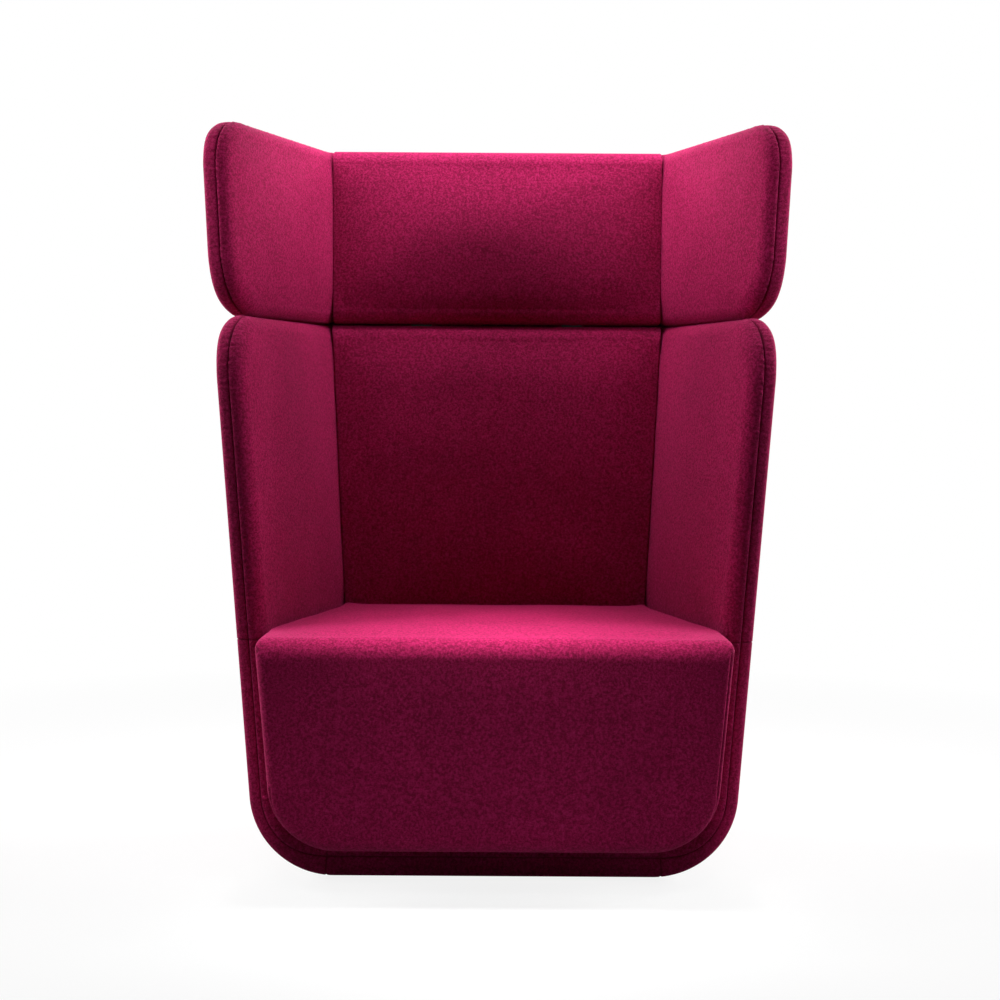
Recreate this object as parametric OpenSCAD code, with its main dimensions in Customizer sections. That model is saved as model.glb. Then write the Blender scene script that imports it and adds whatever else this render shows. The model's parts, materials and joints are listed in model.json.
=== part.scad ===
// Upholstered high back lounge chair: a flared lower shell that cradles a deep seat block,
// and a separate winged head section carried above it on two hidden steel posts.
// Millimetres, +Z up, the front faces -Y, the floor is z = 0 and the origin is the middle of the footprint.

/* [Overall] */
// Height of the head section
head_h = 348; // [320:1:380]
// Height of the arms and of the lower back
shell_h = 950; // [920:1:980]
// Height of the front edge of the seat
seat_h = 426; // [405:1:445]
// Height of the underside above the floor
floor_gap = 6; // [5:0.5:9]
// Open joint between the head section and the lower shell
head_gap = 4; // [3:0.5:8]
// Recline of the backrest from upright
back_recline = 8; // [5:0.1:10]

/* [Lower shell] */
// Width between the side walls where the seat meets the backrest
inside_w = 594; // [570:1:620]
// Angle by which each side wall opens towards the front
side_flare = 11.7; // [9:0.1:14]
// Angle by which each side wall leans outwards
side_lean = 5.3; // [3:0.1:7]
// Depth of a side wall at floor level, from the backrest face to the front rim
arm_depth = 397; // [370:1:430]
// Backward slope of the front rim
rim_lean = 1.7; // [0.5:0.1:3]
// Outer radius of the lower corners
corner_r = 143; // [130:1:155]
// Radius of the upper front corner of a side wall
arm_top_r = 115; // [70:1:125]
// Height of the cross seam on the front rim
seam_h = 402; // [380:1:404]

/* [Head section] */
// Width between the wings at the bottom of the head section, at the backrest
head_w = 661; // [645:1:680]
// Angle by which each wing opens towards the front
wing_flare = 16.8; // [14:0.1:19]
// Angle by which each wing leans outwards
wing_lean = 3.3; // [2:0.1:5]
// Reach of a wing in front of the backrest
wing_reach = 405; // [380:1:430]
// Radius of the upper front corner of a wing
wing_top_r = 88; // [60:1:110]
// Radius of the lower front corner of a wing
wing_bottom_r = 115; // [60:1:120]

/* [Wall build-up] */
// Thickness of a finished side wall or wing
wall_t = 51; // [48:0.5:58]
// Thickness of the outer cover with its wadding
outer_cover_t = 19; // [16:0.5:20]
// Thickness of every plywood board
board_t = 12; // [10:0.5:13]
// Soft edge in front of and above the boards
edge_w = 25; // [22:0.5:28]
// Fabric and wadding over the foam cores
skin_t = 6; // [5:0.5:7]
// Edge radius of the outer covers
outer_edge_r = 10; // [7:0.5:12]
// Edge radius of the inner covers
inner_edge_r = 24; // [16:0.5:25]
// Crown of the inner wall faces
wall_crown = 3; // [2:0.5:5]

/* [Back build-up] */
// Thickness of the back pads in front of the boards
back_pad_t = 30; // [27:0.5:34]
// Thickness of the absorber felt and of the steel posts beside it
felt_t = 6; // [5:0.5:8]
// Thickness of the outer back covers
back_cover_t = 17; // [15:0.5:20]
// Edge radius along the top of the back pads
back_top_r = 23; // [16:0.5:24]
// Crown of the back pads
back_crown = 6; // [4:0.5:8]

/* [Seat] */
// Reach of the seat in front of the rim at floor level
seat_overhang = 166; // [150:1:180]
// Gap between the underside of the seat and the inner floor of the shell
seat_lift = 27; // [20:0.5:32]
// Gap between the seat and the side walls and backrest
seat_gap = 1.2; // [1:0.1:2.5]
// Backward slope of the seat
seat_pitch = 1.4; // [0.5:0.1:2]
// Radius of the lower corners of the seat
seat_corner_r = 112; // [105:1:125]
// Radius of the front top edge of the seat
seat_front_r = 45; // [35:1:55]
// Radius of the front bottom edge of the seat
seat_bottom_r = 30; // [20:1:36]
// Radius of the other seat edges
seat_side_r = 14; // [10:0.5:18]
// Crown of the seat top
seat_crown = 8; // [4:0.5:12]
// Crown of the seat front
front_crown = 6; // [3:0.5:9]
// Thickness of the seat cover with its wadding
seat_cover_t = 4; // [3:0.5:6]
// Height of the seat deck's underside
deck_h = 240; // [220:1:260]

/* [Glides] */
// Diameter of a glide pad
glide_d = 50; // [40:1:56]
// Diameter of a glide stud
stud_d = 8; // [6:0.5:10]
// Travel of a glide
glide_travel = 12; // [8:1:14]

/* [Hidden] */

$fn = 48;
fit = 0.3;          // clearance between neighbouring pieces
over = 2;           // overrun of every cut
turn_clear = 0.05;  // radial clearance of a stud or bolt in its thread
sharp_r = 1;        // radius of a corner that butts against its neighbour
round_steps = 6;    // steps round a large corner
edge_steps = 4;     // steps round an edge
bend_steps = 9;     // steps round the lower corners of the shell

flange_w = 60;      // width of a side board's flat flange under the seat
rail_w = 60;        // width of a cross rail
rail_t = 22;        // thickness of the seat's rails
rail_inset = 56;    // seat front and rear rails from the seat's faces
rail_clear = 4;     // seat side rails from the start of the seat's lower corners
rail_run = rail_t / cos(side_flare);
block_w = 40;       // size of a seat corner block
deck_t = 12;        // thickness of the seat deck
deck_inset = 26;    // edge of the seat deck from the seat's faces
deck_border = 62;   // width of the deck round its window
strap_w = 60;       // width of a webbing strap
strap_t = 2;        // thickness of a webbing strap
strap_lap = 30;     // length of strap fixed on the deck at each end
strap_count = 5;
seat_felt_t = 3;    // thickness of the felt over the webbing
rim_pad_w = 58;     // depth of the front rim pad
foam_inset = 20;    // foam cores from the edge of their cover
top_round_share = back_top_r / inner_edge_r;

post_x = 150;       // steel posts from the middle
post_w = 40;        // width of a steel post
post_in_shell = 330;    // length of a post inside the lower shell
post_top_clear = 98;    // top of a post from the top of the head section
post_in_head = head_h - post_top_clear;
post_bolt_shares = [0.2, 0.88];  // bolts from the open joint, of the post's length on either side
post_bolt_d = 6;
post_head_d = 13;
post_head_t = 3;
nut_barrel_d = 9;
nut_flange_d = 18;
nut_flange_t = 1.5;
nut_recess_clear = 0.2;

screw_d = 4;
screw_l = 44;
screw_head_d = 8;
screw_head_t = 3;
screw_sink = 3;         // screw head under the face of its board
seat_bolt_d = 8;
seat_bolt_l = 72;
seat_head_d = 14;
seat_head_t = 5;

glide_nut_d = 11;
glide_nut_flange_d = 24;
glide_from_rim = 72;    // front glides behind the rim
glide_from_back = 30;   // rear glides in front of the outer back cover
stud_collar_d = 17;
stud_collar_t = 4;
stud_hole_d = 22;       // hole through the bottom cover
glide_boss_share = 0.62; // pad's flat top from its diameter
glide_lip_t = 2;        // height of the pad's straight edge

// Heights of the head section, the backrest face, and the depth that centres the chair on the origin
head_z = shell_h + head_gap;
total_h = head_z + head_h;
back_stack = back_pad_t + board_t + felt_t + 2 * fit;  // from the backrest face to the outer cover
back_t = back_stack + fit + back_cover_t;
rear_reach = (total_h - outer_edge_r) * tan(back_recline) + back_t / cos(back_recline);
back_y = (arm_depth + seat_overhang - rear_reach) / 2;
rim_y = back_y - arm_depth;
seat_front_y = rim_y - seat_overhang;
function back_face_y(z) = back_y + z * tan(back_recline);
function rim_face_y(z) = rim_y + z * tan(rim_lean);

// A wall is [flare, lean, distance of its outer plane from the origin's upright axis at the floor]
side_wall = [
    side_flare, side_lean,
    inside_w / 2 * cos(side_flare) + back_face_y(seat_h) * sin(side_flare)
        - seat_h * tan(side_lean) + wall_t / cos(side_lean)
];
wing_wall = [
    wing_flare, wing_lean,
    head_w / 2 * cos(wing_flare) + back_face_y(shell_h) * sin(wing_flare)
        - shell_h * tan(wing_lean) + wall_t / cos(wing_lean)
];
function wall_u(w, z, n) = w[2] + z * tan(w[1]) - n / cos(w[1]);
function wall_x(w, y, z, n) = (wall_u(w, z, n) - y * sin(w[0])) / cos(w[0]);
function wall_v(w, y, z, n) = (y - wall_u(w, z, n) * sin(w[0])) / cos(w[0]);
function turned(w, u, v, z) = [u * cos(w[0]) - v * sin(w[0]), u * sin(w[0]) + v * cos(w[0]), z];
function wall_point(w, v, z, n) = turned(w, wall_u(w, z, n), v, z);
function back_line(z, m) = back_face_y(z) + m / cos(back_recline);
function back_point(x, z, m) = [x, back_line(z, m), z];

// Heights of the floor layers, and depths of the wall layers from the outer face
board_n = outer_cover_t + fit;
board_in_n = board_n + board_t;
foam_n = board_in_n + fit;
foam_in_n = wall_t - skin_t - fit;
floor_board_z = floor_gap + board_n;
floor_top_z = floor_board_z + board_t;
seat_bottom_z = floor_gap + wall_t + seat_lift;
rail_h = seat_bottom_z - floor_top_z - 2 * fit;
wing_front_y = back_face_y(shell_h) - wing_reach;
mid_n = wall_t / 2;

// The lower shell's section: a flat floor, a bend and a leaning wall
bend_turn = 90 - side_lean;
bend_u = wall_u(side_wall, floor_gap, 0) - corner_r * tan(bend_turn / 2);
function bend_point(turn, n) = [
    bend_u + (corner_r - n) * sin(turn), floor_gap + corner_r - (corner_r - n) * cos(turn)
];
function rise_point(z, n) = [wall_u(side_wall, z, n), z];

// Small vector helpers
function unit(a) = a / norm(a);
function left_of(a) = [-a[1], a[0]];
function between(a, b, t) = a + (b - a) * t;
function fillet(d, r) = d >= r ? 0 : r - sqrt(r * r - (r - d) * (r - d));

// Points of a convex outline, anticlockwise, with each edge moved in and each corner rounded
function rounded(points, radii, steps, moves) =
    let (count = len(points))
    [
        for (i = [0:count - 1])
            let (
                before = (i + count - 1) % count,
                n1 = left_of(unit(points[i] - points[before])),
                n2 = left_of(unit(points[(i + 1) % count] - points[i])),
                c = n1 * n2,
                m1 = moves[before],
                m2 = moves[i],
                corner = points[i] + ((m1 - m2 * c) * n1 + (m2 - m1 * c) * n2) / (1 - c * c),
                r = max(radii[i] - max(m1, m2), sharp_r),
                centre = corner + r * (n1 + n2) / (1 + c),
                start = atan2(-n1[1], -n1[0]),
                turn = acos(c)
            )
            for (j = [0:steps[i]])
                centre + r * [cos(start + turn * j / steps[i]), sin(start + turn * j / steps[i])]
    ];
function steps_for(radii) = [for (r = radii) r > sharp_r ? round_steps : 1];

// A closed skin through rings of equally many points
function fan(first, count) = [for (j = [1:count - 2]) [first, first + j, first + j + 1]];
function flipped(faces) = [for (f = faces) [f[0], f[2], f[1]]];
function volume_of(points, faces) =
    [for (f = faces) points[f[0]] * cross(points[f[1]], points[f[2]])] * [for (f = faces) 1];
module loft(rings) {
    count = len(rings[0]);
    last = (len(rings) - 1) * count;
    points = [for (ring = rings) each ring];
    faces = concat(
        flipped(fan(0, count)),
        [
            for (i = [0:len(rings) - 2])
                for (j = [0:count - 1])
                    let (a = i * count + j, b = i * count + (j + 1) % count)
                    each [[a, b, b + count], [a, b + count, a + count]]
        ],
        fan(last, count)
    );
    polyhedron(points, volume_of(points, faces) > 0 ? flipped(faces) : faces);
}

// A wall's pad is drawn on its middle plane, and at every depth its rear end follows the back
function wall_place(w, front_y, v, z, n) =
    let (
        front = wall_v(w, front_y, z, mid_n),
        rear = wall_v(w, back_line(z, back_stack - fit), z, mid_n),
        rear_there = wall_v(w, back_line(z, back_stack - fit), z, n)
    )
    wall_point(w, front + (v - front) * (rear_there - front) / (rear - front), z, n);
function side_place(v, z, n) = wall_place(side_wall, rim_face_y(z), v, z, n);
function wing_place(v, z, n) = wall_place(wing_wall, wing_front_y, v, z, n);
// A back pad widens forwards as its walls do
function back_half(w, z, m) = wall_x(w, back_line(z, m), z, wall_t);
function back_place(w, x, z, m) = back_point(x * back_half(w, z, m) / back_half(w, z, back_pad_t), z, m);

// A pad with a rounded edge and a crowned face. place() maps outline point and depth to space,
// from_n is the flat back and face_n the face, and shares say how far the rounding reaches in at each edge.
module pad(place, outline, radii, shares, from_n, face_n, edge_r, crown) {
    way = face_n > from_n ? 1 : -1;
    spread = crown * crown_spread;
    stops = concat(
        [[0, from_n]],
        [
            for (i = [0:edge_steps])
                let (a = 90 * i / edge_steps)
                [edge_r * (1 - cos(a)), face_n - way * edge_r * (1 - sin(a))]
        ],
        [[edge_r + spread, face_n + way * crown * crown_rise_shares[0]],
         [edge_r + 2 * spread, face_n + way * crown * crown_rise_shares[1]],
         [edge_r + 3 * spread, face_n + way * crown]]
    );
    loft([
        for (stop = stops)
            [
                for (p = rounded(outline, radii, steps_for(radii), stop[0] * shares))
                    place(p[0], p[1], stop[1])
            ]
    ]);
}
crown_spread = 6;               // run of a crown's slope for each unit of its rise
crown_rise_shares = [0.5, 0.85];

module right_and_left(side) {
    if (side > 0) children();
    else mirror([1, 0, 0]) children();
}

// A flat plate in a wall, its outline in distance along the wall and height on its outer plane
module wall_plate(w, outline, n_far, thickness) {
    rotate([0, 0, w[0]])
        translate([w[2], 0, 0])
            rotate([0, w[1], 0])
                rotate([90, 0, 90])
                    translate([0, 0, -n_far])
                        linear_extrude(thickness) polygon(outline);
}
// A flat plate in the back, its outline in width and height up the recline
module back_plate(m_far, thickness) {
    translate([0, back_y, 0])
        rotate([90 - back_recline, 0, 0])
            translate([0, 0, -m_far])
                linear_extrude(thickness) children();
}
// Everything further back than a depth in the back
module behind(m) {
    back_plate(m + total_h, total_h) translate([-total_h, -total_h]) square([2 * total_h, 3 * total_h]);
}
function up_wall(w, z) = z / cos(w[1]);
function up_back(z, m) = (z + m * sin(back_recline)) / cos(back_recline);

// Corners of a wall's outline: front bottom, rear bottom, rear top, front top
function wall_corners(w, z0, z1, front_y0, front_y1, m_rear, n) = [
    [wall_v(w, front_y0, z0, n), z0],
    [wall_v(w, back_line(z0, m_rear), z0, n), z0],
    [wall_v(w, back_line(z1, m_rear), z1, n), z1],
    [wall_v(w, front_y1, z1, n), z1]
];
// Corners of a back's outline between the faces of a wall at depth n
function back_corners(w, z0, z1, m, n) = [
    [-wall_x(w, back_line(z0, m), z0, n), z0], [wall_x(w, back_line(z0, m), z0, n), z0],
    [wall_x(w, back_line(z1, m), z1, n), z1], [-wall_x(w, back_line(z1, m), z1, n), z1]
];
function leaned(w, points) = [for (p = points) [p[0], up_wall(w, p[1])]];
function reclined(points, m) = [for (p = points) [p[0], up_back(p[1], m)]];

// Lower shell: outlines shared by boards, foam and covers
side_all = wall_corners(side_wall, floor_gap, shell_h, rim_face_y(floor_gap), rim_face_y(shell_h),
    back_stack - fit, mid_n);
side_upper = wall_corners(side_wall, seam_h, shell_h, rim_face_y(seam_h), rim_face_y(shell_h),
    back_stack - fit, mid_n);
wing_all = wall_corners(wing_wall, head_z, total_h, wing_front_y, wing_front_y, back_stack - fit, mid_n);

// Section of the bent side board between two depths, from its flange to the top
function side_section(n0, n1, z_top) = concat(
    [[bend_u - flange_w, floor_gap + n0]],
    [for (i = [0:bend_steps]) bend_point(bend_turn * i / bend_steps, n0)],
    [rise_point(z_top, n0), rise_point(z_top, n1)],
    [for (i = [bend_steps:-1:0]) bend_point(bend_turn * i / bend_steps, n1)],
    [[bend_u - flange_w, floor_gap + n1]]
);
// Side view of the side board, with the soft edge left free
function side_view(edge, rear_m) =
    let (z1 = shell_h - edge)
    rounded(
        [
            [rim_face_y(0) + edge, 0], [back_line(0, rear_m), 0],
            [back_line(z1, rear_m), z1], [rim_face_y(z1) + edge, z1]
        ],
        [sharp_r, sharp_r, sharp_r, arm_top_r - edge], [1, 1, 1, round_steps], [0, 0, 0, 0]
    );
module side_board_solid(n0, n1, edge, rear_m) {
    length = arm_depth + seat_overhang + back_t;
    intersection() {
        rotate([0, 0, side_flare])
            translate([0, length, 0])
                rotate([90, 0, 0]) linear_extrude(2 * length) polygon(side_section(n0, n1, shell_h));
        rotate([90, 0, 90]) linear_extrude(inside_w) polygon(side_view(edge, rear_m));
    }
}

// Fasteners
glide_u = bend_u - flange_w / 2;
function glide_place(rear) =
    let (
        v = rear
            ? wall_v_at(glide_u, back_line(floor_gap, back_stack)) - glide_from_back
            : wall_v_at(glide_u, rim_face_y(floor_gap)) + glide_from_rim,
        p = turned(side_wall, glide_u, v, 0)
    )
    [p[0], p[1], 0];
function wall_v_at(u, y) = (y - u * sin(side_flare)) / cos(side_flare);
glide_places = [glide_place(false), glide_place(true)];
rail_from_glide = 50;    // front cross rail behind the front glides
rear_rail_share = 0.72; // rear cross rail from the rim to the backrest face
rail_ys = [glide_places[0][1] + rail_from_glide, between(rim_face_y(0), back_face_y(0), rear_rail_share)];

module glide_holes() {
    for (p = glide_places)
        translate(p) {
            translate([0, 0, floor_board_z - over])
                cylinder(d = glide_nut_d + 2 * turn_clear, h = board_t + 2 * over);
            translate([0, 0, floor_top_z - nut_flange_t - nut_recess_clear])
                cylinder(d = glide_nut_flange_d + 2 * fit, h = nut_flange_t + nut_recess_clear + over);
        }
}

// Screws run across the chair, through a side board into the edge of the back board between
shell_screw_shares = [0.3, 0.55, 0.85];
head_screw_shares = [0.25, 0.75];
shell_screw_zs = [for (s = shell_screw_shares) shell_h * s];
head_screw_zs = [for (s = head_screw_shares) between(head_z, total_h, s)];
board_mid_m = back_pad_t + fit + board_t / 2;
function screw_place(w, z) =
    let (y = back_line(z, board_mid_m))
    [wall_x(w, y, z, board_n) - screw_sink, y, z];
module on_screws(w, zs) {
    for (side = [1, -1])
        for (z = zs)
            right_and_left(side) translate(screw_place(w, z)) rotate([0, -90, 0]) children();
}
module screws(w, zs) {
    color("silver")
        on_screws(w, zs) {
            cylinder(d = screw_d, h = screw_l);
            cylinder(d = screw_head_d, h = screw_head_t);
        }
}
module screw_holes(w, zs) {
    on_screws(w, zs) {
        cylinder(d = screw_d + 2 * turn_clear, h = screw_l + turn_clear);
        translate([0, 0, -screw_sink - over])
            cylinder(d = screw_head_d + 2 * turn_clear, h = screw_head_t + screw_sink + over);
    }
}
module shell_screws() {
    screws(side_wall, shell_screw_zs);
}
module head_screws() {
    screws(wing_wall, head_screw_zs);
}

// Lower shell boards
base_u = bend_u - flange_w - fit;
function base_half(y) = (base_u - y * sin(side_flare)) / cos(side_flare);
base_front_y = rim_face_y(floor_board_z) + edge_w;
base_rear_y = back_line(0, back_stack - fit);
base_outline = [
    [-base_half(base_front_y), base_front_y], [base_half(base_front_y), base_front_y],
    [base_half(base_rear_y), base_rear_y], [-base_half(base_rear_y), base_rear_y]
];
module base_board() {
    color("burlywood")
        difference() {
            translate([0, 0, floor_board_z]) linear_extrude(board_t) polygon(base_outline);
            seat_bolt_holes(turn_clear);
        }
}
module side_board(side) {
    color("burlywood")
        right_and_left(side)
            difference() {
                side_board_solid(board_n, board_in_n, edge_w, back_stack - fit);
                glide_holes();
                seat_bolt_holes(turn_clear);
                screw_holes(side_wall, shell_screw_zs);
            }
}
// A back board spans between the inner faces of its two walls
back_board_far = back_pad_t + fit + board_t;
module back_board_shape(w, z0, z1, low_r, m_far) {
    corners = back_corners(w, z0, z1, m_far, board_in_n + fit);
    polygon(rounded(reclined(corners, m_far), [low_r, low_r, sharp_r, sharp_r],
        steps_for([low_r, low_r, sharp_r, sharp_r]), [0, 0, 0, 0]));
}
low_board_r = (corner_r - board_in_n) / cos(side_flare);
module back_board() {
    color("burlywood")
        difference() {
            back_plate(back_board_far, board_t)
                back_board_shape(side_wall, floor_top_z + fit, shell_h - edge_w, low_board_r, back_board_far);
            screw_holes(side_wall, shell_screw_zs);
            post_nut_holes();
        }
}
module head_board() {
    color("burlywood")
        difference() {
            back_plate(back_board_far, board_t)
                back_board_shape(wing_wall, head_z + edge_w, total_h - edge_w, sharp_r, back_board_far);
            screw_holes(wing_wall, head_screw_zs);
            post_nut_holes();
        }
}

// Steel posts, their bolts and nuts
felt_far = back_board_far + felt_t;
post_low_k = up_back(shell_h, 0) - post_in_shell;
post_high_k = up_back(head_z, 0) + post_in_head;
post_bolt_ks = [
    for (s = post_bolt_shares)
        each [up_back(shell_h, 0) - s * post_in_shell, up_back(head_z, 0) + s * post_in_head]
];
module post_shape(side, grow) {
    translate([side * post_x - post_w / 2 - grow, post_low_k - grow])
        square([post_w + 2 * grow, post_high_k - post_low_k + 2 * grow]);
}
module post(side) {
    color("dimgray")
        difference() {
            back_plate(felt_far, felt_t - fit) post_shape(side, 0);
            post_bolt_holes(turn_clear);
        }
}
module on_post_bolts() {
    for (side = [-1, 1])
        for (k = post_bolt_ks)
            translate([0, back_y, 0])
                rotate([90 - back_recline, 0, 0])
                    translate([side * post_x, k, -felt_far])
                        children();
}
post_bolt_l = felt_t + board_t - nut_flange_t;
module post_bolts() {
    color("silver")
        on_post_bolts() {
            translate([0, 0, -post_head_t]) cylinder(d = post_head_d, h = post_head_t);
            cylinder(d = post_bolt_d, h = post_bolt_l);
        }
}
module post_bolt_holes(clear) {
    on_post_bolts() {
        translate([0, 0, -post_head_t - over])
            cylinder(d = post_head_d + 2 * clear, h = post_head_t + over);
        translate([0, 0, -over]) cylinder(d = post_bolt_d + 2 * clear, h = felt_t + over);
    }
}
module post_nuts() {
    color("silver")
        difference() {
            on_post_bolts()
                translate([0, 0, felt_t]) {
                    translate([0, 0, fit]) cylinder(d = nut_barrel_d, h = board_t - fit);
                    translate([0, 0, board_t - nut_flange_t]) cylinder(d = nut_flange_d, h = nut_flange_t);
                }
            on_post_bolts() cylinder(d = post_bolt_d + 2 * turn_clear, h = felt_t + board_t + over);
        }
}
module post_nut_holes() {
    on_post_bolts()
        translate([0, 0, felt_t]) {
            translate([0, 0, -over]) cylinder(d = nut_barrel_d + 2 * turn_clear, h = board_t + 2 * over);
            translate([0, 0, board_t - nut_flange_t - nut_recess_clear])
                cylinder(d = nut_flange_d + 2 * fit, h = nut_flange_t + nut_recess_clear + over);
        }
}

// Absorber felt round the posts
module felt_sheet(w, z0, z1, low_r) {
    back_plate(felt_far, felt_t - fit)
        difference() {
            back_board_shape(w, z0, z1, low_r, felt_far);
            for (side = [-1, 1]) post_shape(side, fit);
        }
}
module back_felt() {
    color("gray") felt_sheet(side_wall, floor_top_z + fit, shell_h - edge_w, low_board_r);
}
module head_felt() {
    color("gray") felt_sheet(wing_wall, head_z + edge_w, total_h - edge_w, sharp_r);
}

// Foam cores
sharp_radii = [sharp_r, sharp_r, sharp_r, sharp_r];
module wall_foam(w, corners, radii, moves, grow, reach) {
    outline = rounded(leaned(w, corners), radii, steps_for(radii), moves - [grow, grow, grow, grow]);
    wall_plate(w, outline, foam_in_n + grow, foam_in_n - foam_n + grow + reach);
}
side_foam_moves = [foam_inset, back_stack, edge_w, edge_w];
wing_foam_moves = [edge_w, back_stack, edge_w, edge_w];
side_foam_radii = [sharp_r, sharp_r, sharp_r, arm_top_r];
wing_foam_radii = [wing_bottom_r, sharp_r, sharp_r, wing_top_r];
module side_foam(side) {
    color("ivory")
        right_and_left(side) wall_foam(side_wall, side_upper, side_foam_radii, side_foam_moves, 0, 0);
}
module wing_foam(side) {
    color("ivory")
        right_and_left(side) wall_foam(wing_wall, wing_all, wing_foam_radii, wing_foam_moves, 0, 0);
}
module back_core(w, z0, z1, grow, reach) {
    corners = back_corners(w, z0, z1, back_pad_t, wall_t + foam_inset);
    back_plate(back_pad_t + reach, back_pad_t - back_crown - skin_t - fit + grow + reach)
        polygon(rounded(reclined(corners, 0), sharp_radii, steps_for(sharp_radii), -grow * [1, 1, 1, 1]));
}
back_pad_z = seam_h - 2 * back_pad_t;
module back_foam() {
    color("ivory") back_core(side_wall, back_pad_z + foam_inset, shell_h - edge_w, 0, 0);
}
module head_foam() {
    color("ivory") back_core(wing_wall, head_z + edge_w, total_h - edge_w, 0, 0);
}

// Outer side cover: bends under the shell, with a rounded rim
side_top_turns = [0, 20, 38, 54, 63, 72, 80, 86];
// section(n) gives a section point at a depth: its places behind the front rim and at a depth in the back
function behind_rim(section, e, n) =
    let (p = section(n), q = section(mid_n))
    turned(side_wall, p[0], wall_v_at(q[0], rim_face_y(q[1])) + e, p[1]);
function at_back(section, m, n) =
    let (p = section(n))
    turned(side_wall, p[0], wall_v_at(p[0], back_line(p[1], m)), p[1]);
// A ring across the outer cover; shift and thin shape its front and top
function outer_ring(section, shift, thin) =
    let (r = min(outer_edge_r, outer_cover_t - thin - fit))
    concat(
        [behind_rim(section, shift, outer_cover_t)],
        [
            for (i = [0:edge_steps])
                let (a = 90 * i / edge_steps)
                behind_rim(section, shift + outer_edge_r * (1 - cos(a)), thin + r * (1 - sin(a)))
        ],
        [at_back(section, back_stack - fit, thin), at_back(section, back_stack - fit, outer_cover_t)]
    );
module side_outer_cover(side) {
    color("mediumvioletred")
        right_and_left(side)
            loft(concat(
                [
                    for (i = [0:bend_steps])
                        outer_ring(function (n) bend_point(bend_turn * i / bend_steps, n), 0, 0)
                ],
                [
                    for (a = side_top_turns)
                        let (z = shell_h - arm_top_r * (1 - sin(a)))
                        outer_ring(function (n) rise_point(z, n), arm_top_r * (1 - cos(a)),
                            fillet(shell_h - z, outer_edge_r))
                ]
            ));
}

// Rim pads: the padded inner edge of the shell below the cross seam, notched for the boards
rim_notch = edge_w - board_t * sin(side_flare);  // front of the notch for the boards
function rim_ring(section, deep) =
    let (
        rear = function (n)
            deep > 0 ? behind_rim(section, deep, n) : at_back(section, back_pad_t - fit, n)
    )
    concat(
        [behind_rim(section, rim_notch, foam_n), rear(foam_n), rear(wall_t)],
        [
            for (i = [edge_steps:-1:0])
                let (a = 90 * i / edge_steps)
                behind_rim(section, inner_edge_r * (1 - cos(a)), wall_t - inner_edge_r * (1 - sin(a)))
        ],
        [behind_rim(section, 0, board_n), behind_rim(section, rim_notch, board_n)]
    );
rim_pad_z = seam_h - fit;
module rim_pad(side) {
    color("mediumvioletred")
        right_and_left(side)
            loft(concat(
                [
                    for (i = [0:bend_steps])
                        rim_ring(function (n) bend_point(bend_turn * i / bend_steps, n), 0)
                ],
                [rim_ring(function (n) rise_point(rim_pad_z, n), 0)]
            ));
}
function other_side(ring) = [for (p = ring) [-p[0], p[1], p[2]]];
module rim_pad_front() {
    ring = rim_ring(function (n) bend_point(0, n), rim_pad_w);
    inner = [for (p = ring) [p[0] - fit, p[1], p[2]]];
    color("mediumvioletred") loft([inner, other_side(inner)]);
}
module bottom_cover() {
    ring = outer_ring(function (n) bend_point(0, n), 0, 0);
    inner = [for (p = ring) [p[0] - fit, p[1], p[2]]];
    color("mediumvioletred")
        difference() {
            loft([inner, other_side(inner)]);
            for (side = [-1, 1])
                for (p = glide_places)
                    translate([side * p[0], p[1], 0]) cylinder(d = stud_hole_d, h = floor_board_z + over);
            seat_bolt_holes(fit);
        }
}

// Inner covers: a crowned, round-edged pad with pockets for the boards and the foam
module side_inner_cover(side) {
    color("mediumvioletred")
        right_and_left(side)
            difference() {
                pad(function (v, z, n) side_place(v, z, n), side_upper, side_foam_radii, [0, 1, 1, 1],
                    board_n, wall_t, inner_edge_r, wall_crown);
                side_board_solid(outer_cover_t - over, board_in_n + fit, edge_w - fit, back_stack + over);
                wall_foam(side_wall, side_upper, side_foam_radii, side_foam_moves, fit, over);
                back_zone(floor_gap, shell_h - edge_w + fit);
            }
}
// Everything from just before the back boards to behind them, between two heights
module back_zone(z0, z1) {
    back_plate(back_stack + over, back_stack + over - back_pad_t - fit / 2)
        translate([-inside_w, up_back(z0, back_pad_t)])
            square([2 * inside_w, up_back(z1, felt_far) - up_back(z0, back_pad_t)]);
}
module wing_inner_cover(side) {
    board = rounded(leaned(wing_wall, wing_all), wing_foam_radii, steps_for(wing_foam_radii),
        [edge_w - fit, -wall_t, edge_w - fit, edge_w - fit]);
    color("mediumvioletred")
        right_and_left(side)
            difference() {
                pad(function (v, z, n) wing_place(v, z, n), wing_all, wing_foam_radii, [1, 1, 1, 1],
                    board_n, wall_t, inner_edge_r, wall_crown);
                wall_plate(wing_wall, board, board_in_n + fit, board_t + fit + over);
                wall_foam(wing_wall, wing_all, wing_foam_radii, wing_foam_moves, fit, over);
                back_zone(head_z + edge_w - fit, total_h - edge_w + fit);
            }
}
module wing_board(side) {
    outline = rounded(leaned(wing_wall, wing_all), wing_foam_radii, steps_for(wing_foam_radii),
        [edge_w, -wall_t, edge_w, edge_w]);
    color("burlywood")
        right_and_left(side)
            difference() {
                wall_plate(wing_wall, outline, board_in_n, board_t);
                behind(back_stack - fit);
                screw_holes(wing_wall, head_screw_zs);
            }
}
module wing_outer_cover(side) {
    color("mediumvioletred")
        right_and_left(side)
            pad(function (v, z, n) wing_place(v, z, n), wing_all, wing_foam_radii, [1, 0, 1, 1],
                outer_cover_t, 0, outer_edge_r, outer_crown);
}
outer_crown = 1.5;  // crown of the outer covers, which stays inside the edge

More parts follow.
